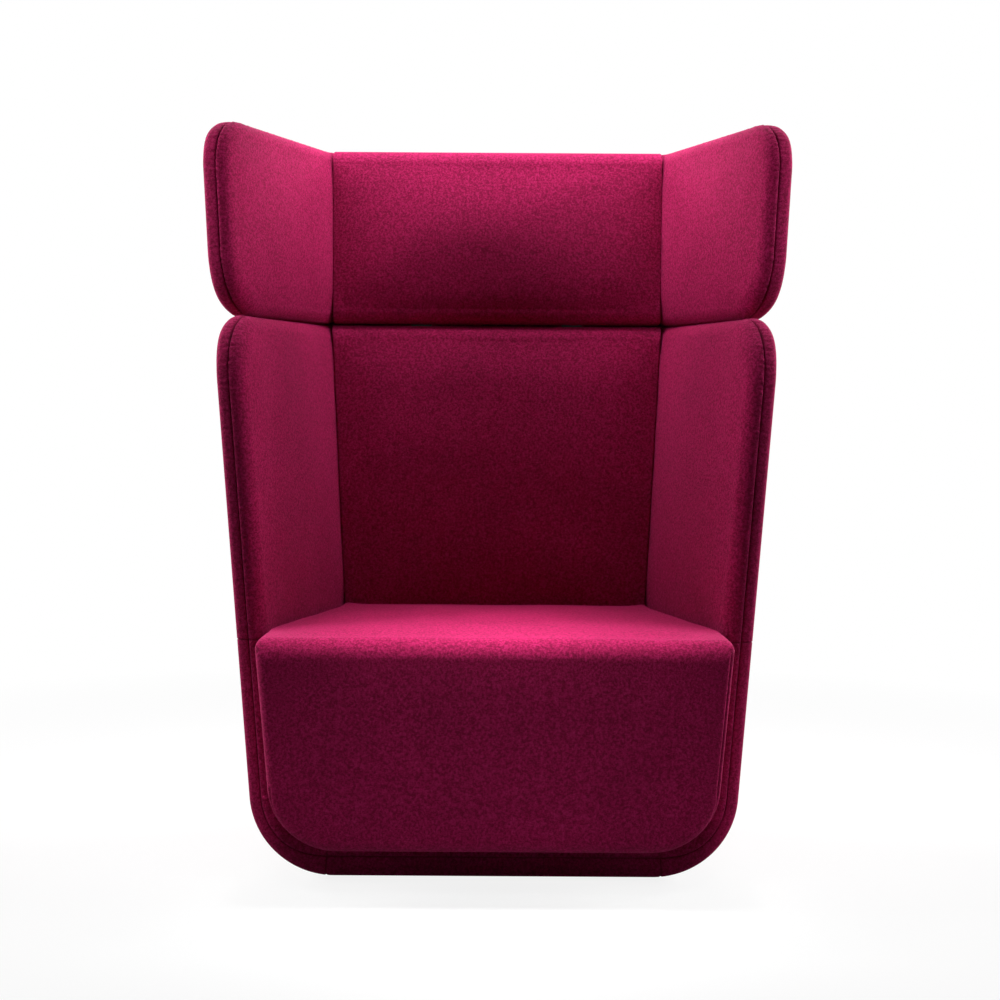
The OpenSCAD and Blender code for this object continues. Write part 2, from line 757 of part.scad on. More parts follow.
// Back covers, which meet the walls where the walls' crown has fallen to a share of its height
corner_crown_share = 0.7;
corner_n = wall_t + wall_crown * corner_crown_share + fit;
back_side_share = 0.16;
module back_inner_cover() {
    color("mediumvioletred")
        difference() {
            pad(function (x, z, m) back_place(side_wall, x, z, m),
                back_corners(side_wall, back_pad_z, shell_h, back_pad_t, corner_n),
                sharp_radii, [back_side_share, back_side_share, top_round_share, back_side_share],
                back_stack - fit, back_crown, inner_edge_r, back_crown);
            back_zone(back_pad_z - over, shell_h - edge_w + fit);
            back_core(side_wall, back_pad_z + foam_inset, shell_h - edge_w, fit, over);
            back_plate(felt_far + fit, felt_t + fit)
                for (side = [-1, 1]) post_shape(side, fit);
        }
}
module head_inner_cover() {
    color("mediumvioletred")
        difference() {
            pad(function (x, z, m) back_place(wing_wall, x, z, m),
                back_corners(wing_wall, head_z, total_h, back_pad_t, corner_n),
                sharp_radii, [top_round_share, back_side_share, top_round_share, back_side_share],
                back_stack - fit, back_crown, inner_edge_r, back_crown);
            back_zone(head_z + edge_w - fit, total_h - edge_w + fit);
            back_core(wing_wall, head_z + edge_w, total_h - edge_w, fit, over);
            back_plate(felt_far + fit, felt_t + fit)
                for (side = [-1, 1]) post_shape(side, fit);
        }
}
module back_outer_cover() {
    low_r = corner_r / cos(side_flare);
    radii = [low_r, low_r, outer_edge_r, outer_edge_r];
    color("mediumvioletred")
        difference() {
            pad(function (x, z, m) back_point(x, z, m),
                back_corners(side_wall, floor_gap, shell_h, back_stack, 0),
                radii, [1, 1, 1, 1],
                back_stack, back_t - outer_crown, outer_edge_r, outer_crown);
            post_bolt_holes(fit);
        }
}
module head_outer_cover() {
    color("mediumvioletred")
        difference() {
            pad(function (x, z, m) back_point(x, z, m),
                back_corners(wing_wall, head_z, total_h, back_stack, 0),
                2 * outer_edge_r * [1, 1, 1, 1], [1, 1, 1, 1],
                back_stack, back_t - outer_crown, outer_edge_r, outer_crown);
            post_bolt_holes(fit);
        }
}

// Floor rails under the seat
function rail_half(y) = (bend_u - fit - y * sin(side_flare)) / cos(side_flare);
function rail_side(y) = [[-rail_half(y), y], [rail_half(y), y]];
function mirrored(points) = [for (p = points) [-p[0], p[1]]];
module cross_rails() {
    color("burlywood")
        difference() {
            for (y = rail_ys)
                translate([0, 0, floor_top_z + fit])
                    linear_extrude(rail_h)
                        polygon(concat(rail_side(y - rail_w / 2), mirrored(rail_side(y + rail_w / 2))));
            seat_bolt_holes(turn_clear);
        }
}

// Seat block: its face is set in by cover, for the hollow of the cover and for the foam
seat_wide_y = rim_face_y(seat_h);
function seat_half(y, z, cover) =
    wall_x(side_wall, max(y, seat_wide_y), z, wall_t + wall_crown) - seat_gap - cover;
function seat_y(t, z, cover) = between(
    seat_front_y + front_crown + cover, back_face_y(z) - back_crown_clear - seat_gap - cover, t);
back_crown_clear = 1;  // rear of the seat from the plane of the backrest face
seat_depth = back_face_y(seat_h) - seat_front_y;
function seat_corners(t, cover) =
    let (z0 = seat_bottom_z + cover, z1 = seat_h - t * seat_depth * tan(seat_pitch) - cover)
    [
        [-seat_half(seat_y(t, z0, cover), z0, cover), z0], [seat_half(seat_y(t, z0, cover), z0, cover), z0],
        [seat_half(seat_y(t, z1, cover), z1, cover), z1], [-seat_half(seat_y(t, z1, cover), z1, cover), z1]
    ];
seat_top_points = 7;
function seat_ring(t, push, moves, cover) =
    let (
        corners = seat_corners(t, cover),
        low_r = seat_corner_r - cover,
        outline = rounded(corners, [low_r, low_r, seat_side_r, seat_side_r],
            [round_steps, round_steps, edge_steps, edge_steps], moves),
        first_top = 2 * (round_steps + 1) + edge_steps + 1,
        a = outline[first_top - 1],
        b = outline[first_top],
        crowned = [
            for (i = [1:seat_top_points])
                let (s = i / (seat_top_points + 1), p = between(a, b, s))
                [p[0], p[1] + seat_crown * 16 * t * (1 - t) * s * (1 - s)]
        ],
        flat = [
            for (i = [0:len(outline) + seat_top_points - 1])
                i < first_top ? outline[i]
                    : i < first_top + seat_top_points ? crowned[i - first_top]
                    : outline[i - seat_top_points]
        ]
    )
    [for (p = flat) [p[0], seat_y(t, p[1], cover) - push, p[1]]];
function seat_stop(d, cover) =
    let (
        r1 = max(seat_side_r - cover, sharp_r),
        r2 = max(seat_bottom_r - cover, sharp_r),
        r3 = max(seat_front_r - cover, sharp_r)
    )
    [fillet(d, r2), fillet(d, r1), fillet(d, r3), fillet(d, r1)];
seat_front_shares = [0, 0.035, 0.15, 0.4, 1];
seat_mid_shares = [0.3, 0.5, 0.75, 0.93];
module seat_form(cover) {
    depth = seat_depth - 2 * cover;
    swell = [for (s = [3, 2, 1]) let (m = s * front_crown * crown_spread / 2) [m, m * 2, m, m * 2]];
    rises = [1, crown_rise_shares[1], crown_rise_shares[0]] * front_crown;
    rear_r = max(seat_side_r - cover, sharp_r);
    loft(concat(
        [for (i = [0:2]) seat_ring(0, rises[i], seat_stop(0, cover) + swell[i], cover)],
        [
            for (s = seat_front_shares)
                seat_ring(s * seat_front_r / depth, 0, seat_stop(s * seat_front_r, cover), cover)
        ],
        [for (t = seat_mid_shares) seat_ring(t, 0, [0, 0, 0, 0], cover)],
        [
            for (a = [0, 30, 60, 90])
                seat_ring(1 - rear_r * (1 - sin(a)) / depth, 0, rear_r * (1 - cos(a)) * [1, 1, 1, 1], cover)
        ]
    ));
}

// The seat's box frame, in plan
function plinth_half(y) = seat_half(y, seat_bottom_z, seat_cover_t) - seat_corner_r - rail_clear;
plinth_front_y = seat_front_y + rail_inset;
plinth_rear_y = back_face_y(seat_bottom_z) - rail_inset;
function plinth_outline(move) =
    rounded(
        [
            [-plinth_half(plinth_front_y), plinth_front_y], [plinth_half(plinth_front_y), plinth_front_y],
            [plinth_half(plinth_rear_y), plinth_rear_y], [-plinth_half(plinth_rear_y), plinth_rear_y]
        ],
        [for (i = [0:3]) sharp_r], [1, 1, 1, 1], [move, move, move, move]
    );
plinth_z = seat_bottom_z + seat_cover_t + fit;
module plinth_part(y0, y1, x0, x1) {
    translate([0, 0, plinth_z])
        linear_extrude(deck_h - plinth_z - fit)
            intersection() {
                difference() {
                    polygon(plinth_outline(0));
                    polygon(plinth_outline(rail_t));
                }
                translate([x0, y0]) square([x1 - x0, y1 - y0]);
            }
}
module seat_front_rail() {
    color("tan")
        plinth_part(plinth_front_y, plinth_front_y + rail_t, -inside_w, inside_w);
}
module seat_rear_rail() {
    color("tan")
        plinth_part(plinth_rear_y - rail_t, plinth_rear_y, -inside_w, inside_w);
}
module seat_side_rail(side) {
    color("tan")
        right_and_left(side)
            difference() {
                plinth_part(plinth_front_y + rail_t + fit, plinth_rear_y - rail_t - fit, 0, inside_w);
                seat_bolt_holes(turn_clear);
            }
}
module seat_corner_blocks() {
    color("tan")
        translate([0, 0, plinth_z])
            linear_extrude(deck_h - plinth_z - fit)
                intersection() {
                    polygon(plinth_outline(rail_t + fit));
                    for (side = [-1, 1])
                        for (y = [plinth_front_y + rail_t, plinth_rear_y - rail_t - block_w])
                            right_and_left(side)
                                translate([plinth_half(y + block_w) - rail_run - block_w, y])
                                    square([2 * block_w, block_w]);
                }
}
// Deck, webbing and felt, in plan
deck_rear_y = back_face_y(deck_h) - deck_inset;
deck_front_y = seat_front_y + deck_inset + front_crown;
function deck_half(y) = seat_half(y, deck_h, seat_cover_t) - deck_inset;
function deck_outline(move) =
    rounded(
        [
            [-deck_half(seat_wide_y), deck_front_y], [deck_half(seat_wide_y), deck_front_y],
            [deck_half(seat_wide_y), seat_wide_y],
            [deck_half(deck_rear_y), deck_rear_y], [-deck_half(deck_rear_y), deck_rear_y],
            [-deck_half(seat_wide_y), seat_wide_y]
        ],
        [for (i = [0:5]) sharp_r], [for (i = [0:5]) 1], [for (i = [0:5]) move]
    );
deck_top_z = deck_h + deck_t;
module seat_deck() {
    color("burlywood")
        translate([0, 0, deck_h])
            linear_extrude(deck_t)
                difference() {
                    polygon(deck_outline(0));
                    polygon(deck_outline(deck_border));
                }
}
module seat_webbing() {
    half = deck_half(deck_rear_y) - deck_border + strap_lap;
    pitch = (2 * half - strap_w) / (strap_count - 1);
    y0 = deck_front_y + deck_border - strap_lap;
    y1 = deck_rear_y - deck_border + strap_lap;
    color("black")
        for (i = [0:strap_count - 1])
            translate([i * pitch - half, y0, deck_top_z + fit]) cube([strap_w, y1 - y0, strap_t]);
}
module seat_felt() {
    color("gray")
        translate([0, 0, deck_top_z + strap_t + 2 * fit])
            linear_extrude(seat_felt_t) polygon(deck_outline(foam_inset));
}
module seat_foam() {
    color("ivory")
        difference() {
            seat_form(seat_cover_t + fit);
            translate([0, 0, seat_bottom_z - over])
                linear_extrude(deck_h - seat_bottom_z + over + fit) polygon(plinth_outline(-fit));
            translate([0, 0, deck_h - fit])
                linear_extrude(deck_t + strap_t + seat_felt_t + 4 * fit) polygon(deck_outline(-fit));
        }
}
module seat_cover() {
    color("mediumvioletred")
        difference() {
            seat_form(0);
            seat_form(seat_cover_t);
            seat_bolt_holes(fit);
        }
}

// Bolts that hold the seat down, up through floor and rails into the seat's side rails
module on_seat_bolts() {
    for (side = [-1, 1])
        for (y = rail_ys)
            translate([side * (between(plinth_half(plinth_front_y), plinth_half(plinth_rear_y),
                (y - plinth_front_y) / (plinth_rear_y - plinth_front_y)) - rail_run / 2), y, floor_board_z])
                children();
}
module seat_bolts() {
    color("silver")
        on_seat_bolts() {
            translate([0, 0, -seat_head_t - fit]) cylinder(d = seat_head_d, h = seat_head_t);
            translate([0, 0, -2 * fit]) cylinder(d = seat_bolt_d, h = seat_bolt_l);
        }
}
module seat_bolt_holes(clear) {
    on_seat_bolts() {
        translate([0, 0, -floor_board_z]) cylinder(d = seat_head_d + 2 * clear, h = floor_board_z);
        cylinder(d = seat_bolt_d + 2 * clear, h = seat_bolt_l);
    }
}

// Levelling glides
module glide_nuts() {
    color("silver")
        for (side = [-1, 1])
            for (p = glide_places)
                translate([side * p[0], p[1], 0])
                    difference() {
                        union() {
                            translate([0, 0, floor_board_z]) cylinder(d = glide_nut_d, h = board_t - fit);
                            translate([0, 0, floor_top_z - nut_flange_t])
                                cylinder(d = glide_nut_flange_d, h = nut_flange_t);
                        }
                        translate([0, 0, floor_gap]) cylinder(d = stud_d + 2 * turn_clear, h = floor_top_z);
                    }
}
module on_glide(side, rear) {
    p = glide_places[rear];
    translate([side * p[0], p[1], 0]) children();
}
module glide_stud(side, rear) {
    color("silver")
        on_glide(side, rear)
            translate([0, 0, floor_gap]) {
                cylinder(d = stud_d, h = floor_top_z - floor_gap + glide_travel);
                cylinder(d = stud_collar_d, h = stud_collar_t, $fn = 6);
            }
}
module glide_pad(side, rear) {
    color("black")
        on_glide(side, rear) {
            cylinder(d = glide_d, h = glide_lip_t);
            translate([0, 0, glide_lip_t])
                cylinder(d1 = glide_d, d2 = glide_d * glide_boss_share, h = floor_gap - glide_lip_t - fit);
        }
}

base_board();
side_board(-1);  // side_board_left
side_board(1);  // side_board_right
back_board();
cross_rails();
shell_screws();
side_foam(-1);  // side_foam_left
side_foam(1);  // side_foam_right
back_foam();
back_felt();
bottom_cover();
side_outer_cover(-1);  // side_outer_cover_left
side_outer_cover(1);  // side_outer_cover_right
back_outer_cover();
side_inner_cover(-1);  // side_inner_cover_left
side_inner_cover(1);  // side_inner_cover_right
back_inner_cover();
rim_pad(-1);  // rim_pad_left
rim_pad(1);  // rim_pad_right
rim_pad_front();
head_board();
wing_board(-1);  // wing_board_left
wing_board(1);  // wing_board_right
head_screws();
post(-1);  // head_post_left
post(1);  // head_post_right
post_bolts();
post_nuts();
head_foam();
wing_foam(-1);  // wing_foam_left
wing_foam(1);  // wing_foam_right
head_felt();
head_outer_cover();
wing_outer_cover(-1);  // wing_outer_cover_left
wing_outer_cover(1);  // wing_outer_cover_right
head_inner_cover();
wing_inner_cover(-1);  // wing_inner_cover_left
wing_inner_cover(1);  // wing_inner_cover_right
seat_front_rail();
seat_rear_rail();
seat_side_rail(-1);  // seat_side_rail_left
seat_side_rail(1);  // seat_side_rail_right
seat_corner_blocks();
seat_deck();
seat_webbing();
seat_felt();
seat_foam();
seat_cover();
seat_bolts();
glide_nuts();
glide_stud(-1, 0);  // glide_stud_front_left
glide_stud(1, 0);  // glide_stud_front_right
glide_stud(-1, 1);  // glide_stud_rear_left
glide_stud(1, 1);  // glide_stud_rear_right
glide_pad(-1, 0);  // glide_pad_front_left
glide_pad(1, 0);  // glide_pad_front_right
glide_pad(-1, 1);  // glide_pad_rear_left
glide_pad(1, 1);  // glide_pad_rear_right
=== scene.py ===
import json
import math

import bpy
import numpy as np
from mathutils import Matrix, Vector, kdtree


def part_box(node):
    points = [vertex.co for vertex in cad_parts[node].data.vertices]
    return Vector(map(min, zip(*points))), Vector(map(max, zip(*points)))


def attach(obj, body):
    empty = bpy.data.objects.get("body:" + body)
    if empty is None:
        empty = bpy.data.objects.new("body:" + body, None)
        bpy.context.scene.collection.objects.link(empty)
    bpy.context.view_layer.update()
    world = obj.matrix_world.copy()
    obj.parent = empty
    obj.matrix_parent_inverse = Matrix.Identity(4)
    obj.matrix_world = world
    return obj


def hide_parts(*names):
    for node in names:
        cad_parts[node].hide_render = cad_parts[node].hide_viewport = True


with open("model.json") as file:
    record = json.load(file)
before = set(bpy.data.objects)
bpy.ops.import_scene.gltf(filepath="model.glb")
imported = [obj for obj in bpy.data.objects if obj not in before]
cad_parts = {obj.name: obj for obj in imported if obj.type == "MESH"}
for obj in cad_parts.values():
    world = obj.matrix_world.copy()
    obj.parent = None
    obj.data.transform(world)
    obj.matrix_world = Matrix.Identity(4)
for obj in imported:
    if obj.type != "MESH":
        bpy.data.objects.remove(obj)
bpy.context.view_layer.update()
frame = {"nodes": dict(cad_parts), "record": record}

# Sizes of the chair, in millimetres and degrees
SHELL_H, SEAT_H, HEAD_H = 950.0, 426.0, 348.0
FLOOR_GAP, HEAD_GAP = 6.0, 4.0
RECLINE = 8.0
INSIDE_W, SIDE_FLARE, SIDE_LEAN = 594.0, 11.7, 5.3
ARM_DEPTH, RIM_LEAN = 397.0, 1.7
CORNER_R, ARM_TOP_R, SEAM_H = 143.0, 115.0, 402.0
HEAD_W, WING_FLARE, WING_LEAN, WING_REACH = 661.0, 16.8, 3.3, 405.0
WING_TOP_R, WING_BOTTOM_R = 88.0, 115.0
WALL_T, OUTER_T, BOARD_T = 51.0, 19.0, 12.0
OUTER_R, INNER_R, WALL_CROWN, OUTER_CROWN = 10.0, 27.0, 3.0, 1.5
BACK_PAD_T, FELT_T, BACK_COVER_T = 30.0, 6.0, 17.0
BACK_TOP_R, BACK_CROWN = 30.0, 6.0
HEAD_CROWN = 11.0
SEAT_OVERHANG, SEAT_LIFT, SEAT_GAP, SEAT_PITCH = 166.0, 27.0, 1.2, 1.4
SEAT_CORNER_R, SEAT_FRONT_R, SEAT_BOTTOM_R, SEAT_SIDE_R = 112.0, 34.0, 30.0, 14.0
SEAT_CROWN, FRONT_CROWN, FRONT_SWELL = 8.0, 6.0, 3.5
RIM_PAD_W = 58.0
FIT, SHARP_R = 0.3, 1.0
RIM_SEAM_TURN = 4.8     # the short seams of the bottom rim, in degrees round the lower corners

# How much further in than the outer cover's thickness each seam lies
SEAM_IN_LOW, SEAM_IN_HIGH, SEAM_IN_WING, SEAM_IN_BOTTOM = 3.5, 4.0, 8.0, 12.0
SEAM_RISE_Z, SEAM_RISE_H = 450.0, 350.0


def sin(a):
    return math.sin(math.radians(a))


def cos(a):
    return math.cos(math.radians(a))


def tan(a):
    return math.tan(math.radians(a))


# The planes that walls and backs are built on
HEAD_Z = SHELL_H + HEAD_GAP
TOTAL_H = HEAD_Z + HEAD_H
BACK_STACK = BACK_PAD_T + BOARD_T + FELT_T + 2 * FIT
BACK_T = BACK_STACK + FIT + BACK_COVER_T
REAR_REACH = (TOTAL_H - OUTER_R) * tan(RECLINE) + BACK_T / cos(RECLINE)
BACK_Y = (ARM_DEPTH + SEAT_OVERHANG - REAR_REACH) / 2
RIM_Y = BACK_Y - ARM_DEPTH
SEAT_FRONT_Y = RIM_Y - SEAT_OVERHANG
BOARD_N = OUTER_T + FIT
FOAM_N = BOARD_N + BOARD_T + FIT
MID_N = WALL_T / 2
SEAT_BOTTOM_Z = FLOOR_GAP + WALL_T + SEAT_LIFT


def back_face_y(z):
    return BACK_Y + z * tan(RECLINE)


def rim_face_y(z):
    return RIM_Y + z * tan(RIM_LEAN)


def back_line(z, m):
    return back_face_y(z) + m / cos(RECLINE)


def wall_plane(flare, lean, width, level):
    """A side wall or wing: its flare, its lean and how far out its outer plane meets the floor."""
    inner = width / 2 * cos(flare) + back_face_y(level) * sin(flare) - level * tan(lean)
    far = inner + WALL_T / cos(lean)
    return flare, lean, far


SIDE = wall_plane(SIDE_FLARE, SIDE_LEAN, INSIDE_W, SEAT_H)
WING = wall_plane(WING_FLARE, WING_LEAN, HEAD_W, SHELL_H)
WING_FRONT_Y = back_face_y(SHELL_H) - WING_REACH


def wall_u(w, z, n):
    return w[2] + z * tan(w[1]) - n / cos(w[1])


def wall_x(w, y, z, n):
    return (wall_u(w, z, n) - y * sin(w[0])) / cos(w[0])


def wall_v(w, y, z, n):
    return (y - wall_u(w, z, n) * sin(w[0])) / cos(w[0])


def turned(w, u, v, z):
    u, v, z = np.broadcast_arrays(u, v, z)
    return np.stack([u * cos(w[0]) - v * sin(w[0]), u * sin(w[0]) + v * cos(w[0]), z], -1)


def wall_place(w, front_y, p, n):
    """Where a point of a wall's outline lies at depth n; the rear end follows the back."""
    v, z = p[..., 0], p[..., 1]
    front = wall_v(w, front_y(z), z, MID_N)
    rear = wall_v(w, back_line(z, BACK_STACK - FIT), z, MID_N)
    rear_there = wall_v(w, back_line(z, BACK_STACK - FIT), z, n)
    return turned(w, wall_u(w, z, n), front + (v - front) * (rear_there - front) / (rear - front), z)


def seam_share(n):
    """1 at the seam's depth in a wall, and nothing at both of its faces."""
    return np.minimum(n / OUTER_T, (WALL_T - n) / (WALL_T - OUTER_T))


def side_place(p, n):
    """On the arms the seam lies further in towards the top."""
    rise = np.clip((p[..., 1] - SEAM_RISE_Z) / SEAM_RISE_H, 0, 1)
    lift = SEAM_IN_LOW + (SEAM_IN_HIGH - SEAM_IN_LOW) * rise
    return wall_place(SIDE, rim_face_y, p, n + np.maximum(0, lift * seam_share(n)))


def wing_place(p, n):
    shift = SEAM_IN_WING * seam_share(n)
    return wall_place(WING, lambda z: WING_FRONT_Y + 0 * z, p, n + np.maximum(0, shift))


def back_half(w, z, m):
    return wall_x(w, back_line(z, m), z, WALL_T)


def back_pad_place(w):
    """Where a point of a back pad lies at depth m; the pad widens forwards with its walls."""
    def place(p, m):
        x, z = p[..., 0], p[..., 1]
        x = x * back_half(w, z, m) / back_half(w, z, BACK_PAD_T)
        return np.stack([x, back_line(z, m), z + 0 * m], -1)
    return place


def back_panel_place(p, m):
    x, z = p[..., 0], p[..., 1]
    return np.stack([x + 0 * m, back_line(z, m), z + 0 * m], -1)


def wall_corners(w, z0, z1, front_y0, front_y1):
    """Front bottom, rear bottom, rear top and front top of a wall's outline."""
    return [
        (wall_v(w, front_y0, z0, MID_N), z0),
        (wall_v(w, back_line(z0, BACK_STACK - FIT), z0, MID_N), z0),
        (wall_v(w, back_line(z1, BACK_STACK - FIT), z1, MID_N), z1),
        (wall_v(w, front_y1, z1, MID_N), z1),
    ]


def back_corners(w, z0, z1, m, n):
    """The outline of a back between two levels, as wide as its walls are at depths m and n."""
    half0, half1 = wall_x(w, back_line(z0, m), z0, n), wall_x(w, back_line(z1, m), z1, n)
    return [(-half0, z0), (half0, z0), (half1, z1), (-half1, z1)]


# Outlines of pads
class Outline:
    """A convex outline whose sides can move in and whose corners stay round, its points always as many."""

    CORNER_REACH = 14.0     # how many points a corner's mask takes to fade

    def __init__(self, corners, radii, spacing):
        self.corners = np.array(corners, float)
        self.radii = radii
        count = len(corners)
        self.side_counts, self.arc_counts = [], []
        for i in range(count):
            length = np.linalg.norm(self.corners[(i + 1) % count] - self.corners[i])
            self.side_counts.append(max(3, int(round(length / spacing))))
            self.arc_counts.append(3 if radii[i] <= SHARP_R else max(6, int(round(radii[i] * 1.5 / spacing))))

    def moved(self, moves):
        """The outline's points, anticlockwise, with each side moved in by its own amount."""
        c = self.corners
        count = len(c)
        pts, arcs = [], []
        for i in range(count):
            before = c[i] - c[i - 1]
            after = c[(i + 1) % count] - c[i]
            n1 = np.array([-before[1], before[0]]) / np.linalg.norm(before)
            n2 = np.array([-after[1], after[0]]) / np.linalg.norm(after)
            k = n1 @ n2
            m1, m2 = moves[i - 1], moves[i]
            corner = c[i] + ((m1 - m2 * k) * n1 + (m2 - m1 * k) * n2) / (1 - k * k)
            r = max(self.radii[i] - max(m1, m2), SHARP_R)
            centre = corner + r * (n1 + n2) / (1 + k)
            start = math.atan2(-n1[1], -n1[0])
            angles = start + math.acos(k) * np.linspace(0, 1, self.arc_counts[i])
            arcs.append(centre + r * np.stack([np.cos(angles), np.sin(angles)], -1))
        for i in range(count):
            pts.append(arcs[i])
            a, b = arcs[i][-1], arcs[(i + 1) % count][0]
            t = np.linspace(0, 1, self.side_counts[i] + 2)[1:-1, None]
            pts.append(a + (b - a) * t)
        return np.concatenate(pts)

    def corner_mask(self, wanted):
        """1 at the wanted corners, falling off along the sides next to them."""
        spans, at = [], 0
        count = len(self.corners)
        for i in range(count):
            spans.append((at, at + self.arc_counts[i]))
            at += self.arc_counts[i] + self.side_counts[i]
        mask = np.zeros(at)
        j = np.arange(at)
        for i in wanted:
            lo, hi = spans[i]
            gap = np.minimum((lo - j) % at, (j - (hi - 1)) % at)
            gap[lo:hi] = 0
            mask = np.maximum(mask, np.exp(-(gap / self.CORNER_REACH) ** 2))
        return mask

    def side_mask(self, wanted):
        """1 along the wanted sides and round the corners between them, 0 elsewhere."""
        at, count, total = 0, len(self.corners), sum(self.side_counts) + sum(self.arc_counts)
        mask = np.zeros(total)
        for i in range(count):
            if i in wanted or (i - 1) % count in wanted:
                mask[at:at + self.arc_counts[i]] = 1
            at += self.arc_counts[i]
            if i in wanted:
                mask[at:at + self.side_counts[i]] = 1
            at += self.side_counts[i]
        return mask


def outward(ring):
    """Outward normals of a closed, anticlockwise run of points in the plane."""
    along = np.roll(ring, -1, 0) - np.roll(ring, 1, 0)
    along /= np.linalg.norm(along, axis=1, keepdims=True) + 1e-9
    return np.stack([along[:, 1], -along[:, 0]], -1)


def run_length(ring):
    step = np.linalg.norm(np.roll(ring, -1, 0) - ring, axis=1)
    return np.concatenate([[0], np.cumsum(step)[:-1]])


def wave_of(s, length, start):
    return np.sin(2 * math.pi * s / length + start)


def ripple(s, seed):
    """Small uneven puckers along a seam, with a mean of nothing; lengths in millimetres."""
    rng = np.random.default_rng(seed)
    a, b, c, d = rng.uniform(0, 2 * math.pi, 4)
    swell = 0.55 + 0.45 * wave_of(s, 61.0, c) * wave_of(s, 23.0, d)
    return swell * (0.65 * wave_of(s, 9.5, a) + 0.35 * wave_of(s, 14.3, b))


SOFT_WAVES = 7


def softness(points, seed, size, height):
    """Slow, shallow unevenness of hand-pulled upholstery, from a few crossing waves."""
    rng = np.random.default_rng(seed)
    total = np.zeros(points.shape[:-1])
    for _ in range(SOFT_WAVES):
        way = rng.normal(size=3)
        way /= np.linalg.norm(way)
        length = size * rng.uniform(0.6, 1.7)
        total += np.sin(points @ way * (2 * math.pi / length) + rng.uniform(0, 2 * math.pi))
    return height * total / SOFT_WAVES


# Meshes
def add_piece(name, data):
    """A new object in the scene."""
    piece = bpy.data.objects.new(name, data)
    bpy.context.scene.collection.objects.link(piece)
    return piece


def remove_piece(piece):
    mesh = piece.data
    bpy.data.objects.remove(piece, do_unlink=True)
    bpy.data.meshes.remove(mesh)


def mirrored(grid):
    return grid * np.array([-1.0, 1.0, 1.0])


def ring_faces(rings, count):
    """Quads between closed rings, and one flat cap at each end."""
    i = np.arange(rings - 1)[:, None] * count
    j = np.arange(count)[None, :]
    k = (j + 1) % count
    quads = np.stack([i + j, i + k, i + k + count, i + j + count], -1).reshape(-1, 4).tolist()
    first = list(range(count))[::-1]
    last = [(rings - 1) * count + a for a in range(count)]
    return quads + [first, last]


def build_mesh(name, grid, seam=None):
    """A closed, smooth mesh from rings of points in millimetres, its normals pointing out."""
    rings, count = grid.shape[:2]
    points = (grid.reshape(-1, 3) * 0.001).tolist()
    faces = ring_faces(rings, count)
    mesh = bpy.data.meshes.new(name)
    mesh.from_pydata(points, [], faces)
    mesh.validate()
    p = grid.reshape(-1, 3)
    q = np.array(faces[:-2])
    a, b, c = p[q[:, 0]], p[q[:, 1]], p[q[:, 2]]
    mid = p.mean(0)
    if np.einsum("ij,ij->i", np.cross(b - a, c - a), (a + b + c) / 3 - mid).sum() < 0:
        mesh.flip_normals()
    mesh.polygons.foreach_set("use_smooth", [True] * len(mesh.polygons))
    # The seam attribute is painted shade: the wool darkens along each seam as if the valley lay in shade.
    shade = np.zeros(rings * count, np.float32) if seam is None else seam.reshape(-1).astype(np.float32)
    mesh.attributes.new("seam", "FLOAT", "POINT").data.foreach_set("value", shade)
    mesh.update()
    return add_piece(name, mesh)


def grid_normals(grid):
    """Unit normals of a ring grid, pointing away from its middle."""
    along = np.roll(grid, -1, 1) - np.roll(grid, 1, 1)
    across = np.gradient(grid, axis=0)
    n = np.cross(along, across)
    n /= np.linalg.norm(n, axis=-1, keepdims=True) + 1e-9
    mid = grid.reshape(-1, 3).mean(0)
    if np.einsum("ijk,ijk->", n, grid - mid) < 0:
        n = -n
    return n


# Pads with a seam at their back edge
EDGE_SUPPORT = np.array([1.0, 3.0])     # extra rings next to the edge, which keep its shading crisp
SEAM_DIPS = [(0.0, 2.6), (0.7, 1.3), (1.6, 0.55), (2.8, 0.18), (4.6, 0.0)]   # run from the seam, and the dip
SEAM_SHADE_REACH = 1.5                         # how far from the seam its painted shade line fades out
PUCKER_OFF, PUCKER_IN, PUCKER_OUT = 3.5, 4.5, 9.0   # where puckers are highest, and how they fade
REAR_RISE, REAR_FALL = 17.0, 30.0       # how near the rear, and how far down, a pad's top rises again


def pad_profile(from_n, face_n, edge_r, arc_steps=12):
    """Insets and depths from the seam at the back edge, over the rounded edge, to the face."""
    way = 1 if face_n > from_n else -1
    depth = abs(face_n - from_n)
    rows = [(dip, from_n + way * run) for run, dip in SEAM_DIPS if run < depth - edge_r - 0.4]
    rows += [
        (edge_r * (1 - cos(a)), face_n - way * edge_r * (1 - sin(a)))
        for a in np.linspace(0, 90, arc_steps + 1)
    ]
    return way, rows


def corner_filled(p, sides, moves):
    """Where a pad ends square at the rear, its rounded top rises again, so that no notch is left."""
    if moves[1] > 0:
        return p
    from_rear = np.linalg.norm(sides[2] - p, axis=1)
    below = sides[2][1] - p[:, 1]
    fading = np.clip(1 - (below - moves[2]) / REAR_FALL, 0, 1)
    lift = moves[2] * np.exp(-(from_rear / REAR_RISE) ** 2) * fading
    return p + np.stack([0 * lift, lift], -1)


